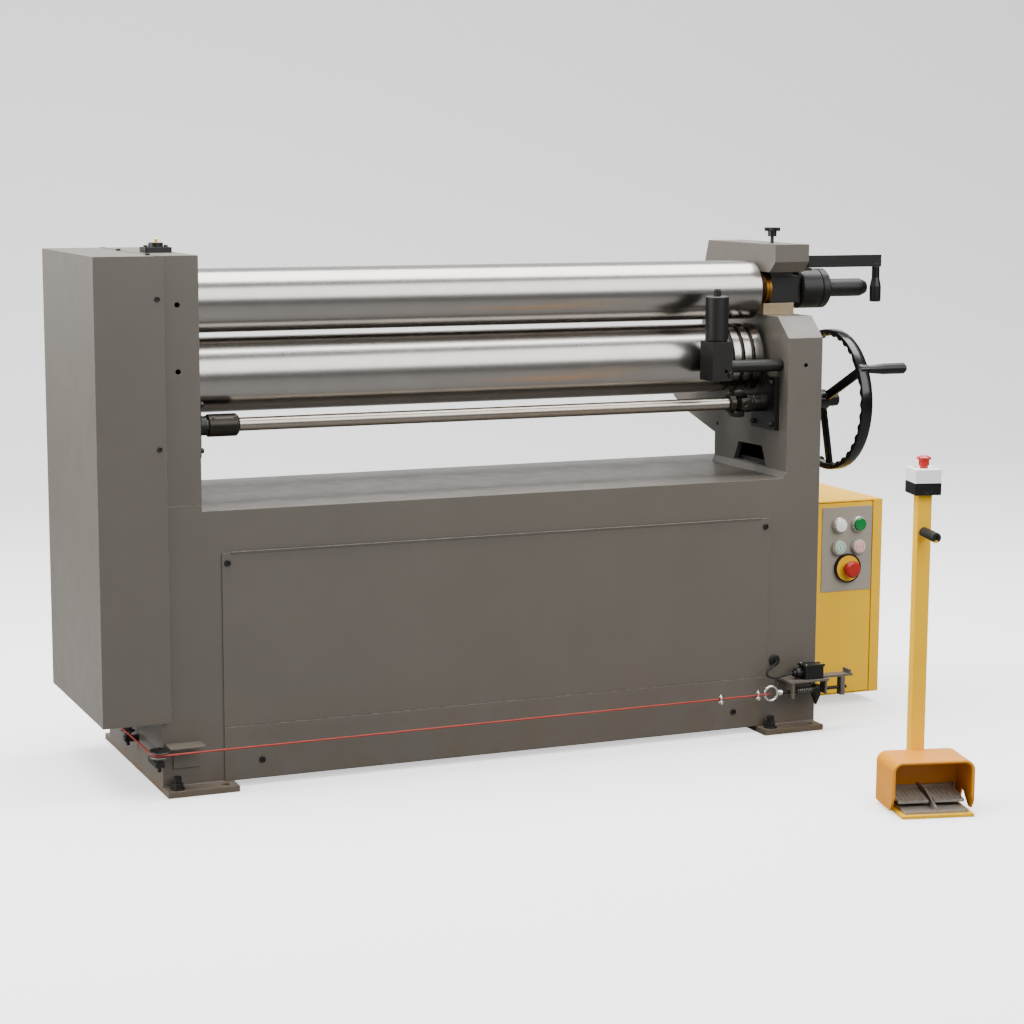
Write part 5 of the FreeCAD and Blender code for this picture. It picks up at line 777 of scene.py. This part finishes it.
pulley_grey = metal("cast_pulley_grey", colour(120, 118, 114), colour(178, 174, 168), roughness=0.4,
                    lines=(200, 200, 200), metallic=0.7)
bright_zinc = metal("bright_zinc_plate", colour(214, 212, 206), colour(236, 234, 230), roughness=0.26,
                    lines=(220, 220, 220))
spring_steel = metal("spring_wire_steel", colour(140, 138, 134), colour(190, 188, 184), roughness=0.28,
                     lines=(300, 300, 300))
red_wire = enamel("red_plastic_cover", colour(146, 44, 32), colour(176, 90, 74), roughness=0.48, peel=0.1,
                  dirt=0.0)
black_rubber = enamel("black_rubber", colour(18, 17, 17), colour(40, 39, 38), roughness=0.6, peel=0.2,
                      dirt=0.0, gloss_coat=0.0)
coat(pulley_grey, "corner_pulley", "side_pulley")
coat(spring_steel, "trip_spring")
coat(red_wire, "pull_wire")
coat(black_rubber, "lead_grommet", "switch_lead")
eye_bolt_end = 0.6125
repaint("trip_rod", bright_zinc, lambda spot: spot.x < eye_bolt_end)

bow_radius, bow_lift, leg_drop, bow_thick = 0.0058, 0.0040, 0.0095, 0.0022
saddle_long, saddle_wide, saddle_low, saddle_high = 0.0062, 0.0092, 0.0066, 0.0021


def rope_grip(shape, x, y, z):
    bow_x = x + 0.0015
    bow = [(bow_x, y + bow_radius * cos(a), z + bow_lift + bow_radius * sin(a))
           for a in (pi * k / 12 for k in range(13))]
    legs = [(bow_x, y + side * bow_radius, z - leg_drop) for side in (1, -1)]
    run_round(shape, legs[:1] + bow + legs[1:], radius=bow_thick, sides=8)
    slab(shape, (x - saddle_long, y - saddle_wide, z - saddle_low),
         (x + saddle_long, y + saddle_wide, z - saddle_high), bevel=0.0014)
    for side in (-1, 1):
        hex_head(shape, (bow_x, y + side * bow_radius, z - 0.0064), (0, 0, -1), radius=0.0044,
                 height=0.0032)


grips = bmesh.new()
rope_grip(grips, 0.4344, -0.2808, 0.0968)
rope_grip(grips, 0.5274, -0.2812, 0.0978)
ready("rope_grips", grips, bright_zinc, "machine")

switch_low, switch_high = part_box("limit_switch")
lid_length, lid_inset, lid_margin = 0.038, 0.0065, 0.0045
lid_right = switch_high[0] - lid_inset
lid_screws = bmesh.new()
for x in (lid_right - lid_length, lid_right):
    for y in (switch_low[1] + lid_margin, switch_high[1] - lid_margin):
        socket_screw(lid_screws, (x, y, switch_high[2]), to_top, radius=0.0024, height=0.0012)
ready("switch_lid_screws", lid_screws, bright_zinc, "machine")

gland_place = (0.6370, -0.266, 0.1365)
gland_outline = [(0, 0.0075), (0, 0.0118, 6), (0.007, 0.0118, 6), (0.009, 0.0112), (0.009, 0.0075),
                 (0, 0.0075)]
gland_nut = bmesh.new()
lathe(gland_nut, gland_outline, gland_place, to_right, steps=24)
ready("gland_nut", gland_nut, black_plastic, "machine")

lead_route = [(601.3, -231, 161), (601.3, -243, 161), (592, -251, 158.5), (579, -256, 154), (567, -259, 146),
              (563, -261, 137.5), (571, -263, 131), (584, -264.5, 129.5), (598, -265.5, 131),
              (615, -266, 136.5), (628, -266, 136.5)]
lead_curve = bpy.data.curves.new("switch_lead_line", "CURVE")
lead_curve.dimensions = "3D"
lead_curve.bevel_depth = 0.0025
lead_curve.bevel_resolution = 4
lead_curve.resolution_u = 10
lead_line = lead_curve.splines.new("NURBS")
lead_line.points.add(len(lead_route) - 1)
for point, (x, y, z) in zip(lead_line.points, lead_route):
    point.co = (x / 1000, y / 1000, z / 1000, 1.0)
lead_line.order_u = 3
lead_line.use_endpoint_u = True
lead_curve.materials.append(black_rubber)
switch_lead = bpy.data.objects.new("switch_lead_cable", lead_curve)
bpy.context.scene.collection.objects.link(switch_lead)
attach(switch_lead, "machine")
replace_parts(switch_lead, "switch_lead")


# ---- Foot pedal stand ----------------------------------------------------------------------
# A separate stand: a square post, a moulded hood over two ribbed treads, and a boxed stop mushroom
# on top. The hood's mouth has a rolled rim, and a rubber covered peg stands out of the post.

hood_plastic = enamel("orange_yellow_shell", colour(210, 134, 6), colour(224, 162, 50), roughness=0.46,
                      dirt=0.2, height=0.05, wear=0.4)
pedal_grey = enamel("cast_tread_grey", colour(128, 122, 114), colour(190, 186, 178), roughness=0.46,
                    dirt=0.0)
box_plastic = enamel("stop_box_shell", colour(246, 245, 242), colour(248, 247, 244), roughness=0.4,
                     dirt=0.0, peel=0.06)
coat(hood_plastic, "pedal_hood")
coat(pedal_grey, "pedal_unit", "pedal_left", "pedal_right")
coat(box_plastic, "stop_box")
box_parting = 0.6528
repaint("stop_box", black_plastic, lambda spot: spot.z < box_parting)

stand_x, stand_y, stand_turn = 0.547, -0.9766, radians(-14)


def on_stand(x, y, z):
    return (stand_x + x * cos(stand_turn) - y * sin(stand_turn),
            stand_y + x * sin(stand_turn) + y * cos(stand_turn), z)


def stand_depth(spot):
    return -(spot.x - stand_x) * sin(stand_turn) + (spot.y - stand_y) * cos(stand_turn)


peg_low, peg_high, post_depth = 0.5395, 0.5625, 0.1275
repaint("pedestal_stand", black_rubber,
        lambda spot: peg_low < spot.z < peg_high and stand_depth(spot) < post_depth)

mouth_half, mouth_foot, mouth_top, mouth_round, mouth_depth = 0.0815, 0.030, 0.1035, 0.019, 0.0342
mouth = [(-mouth_half, mouth_foot), (-mouth_half, mouth_top - mouth_round)]
mouth += [(-mouth_half + mouth_round * (1 - cos(a)), mouth_top - mouth_round + mouth_round * sin(a))
          for a in (pi * k / 16 for k in range(1, 8))]
mouth += [(-x, z) for x, z in reversed(mouth)]
rim = bmesh.new()
run_round(rim, [on_stand(x, mouth_depth, z) for x, z in mouth], radius=0.0034)
ready("hood_rolled_rim", rim, hood_plastic, "machine", sharp=60)

box_top, box_screw_x, box_screw_rows = 0.672, 0.0205, (0.0905, 0.1385)
box_screw_outline = [(-0.0008, 0), (-0.0008, 0.0022), (0.0005, 0.0021), (0.0008, 0.0014), (0.0008, 0)]
box_screws = bmesh.new()
for x in (-box_screw_x, box_screw_x):
    for y in box_screw_rows:
        lathe(box_screws, box_screw_outline, on_stand(x, y, box_top), to_top)
ready("box_screws", box_screws, bright_zinc, "machine")
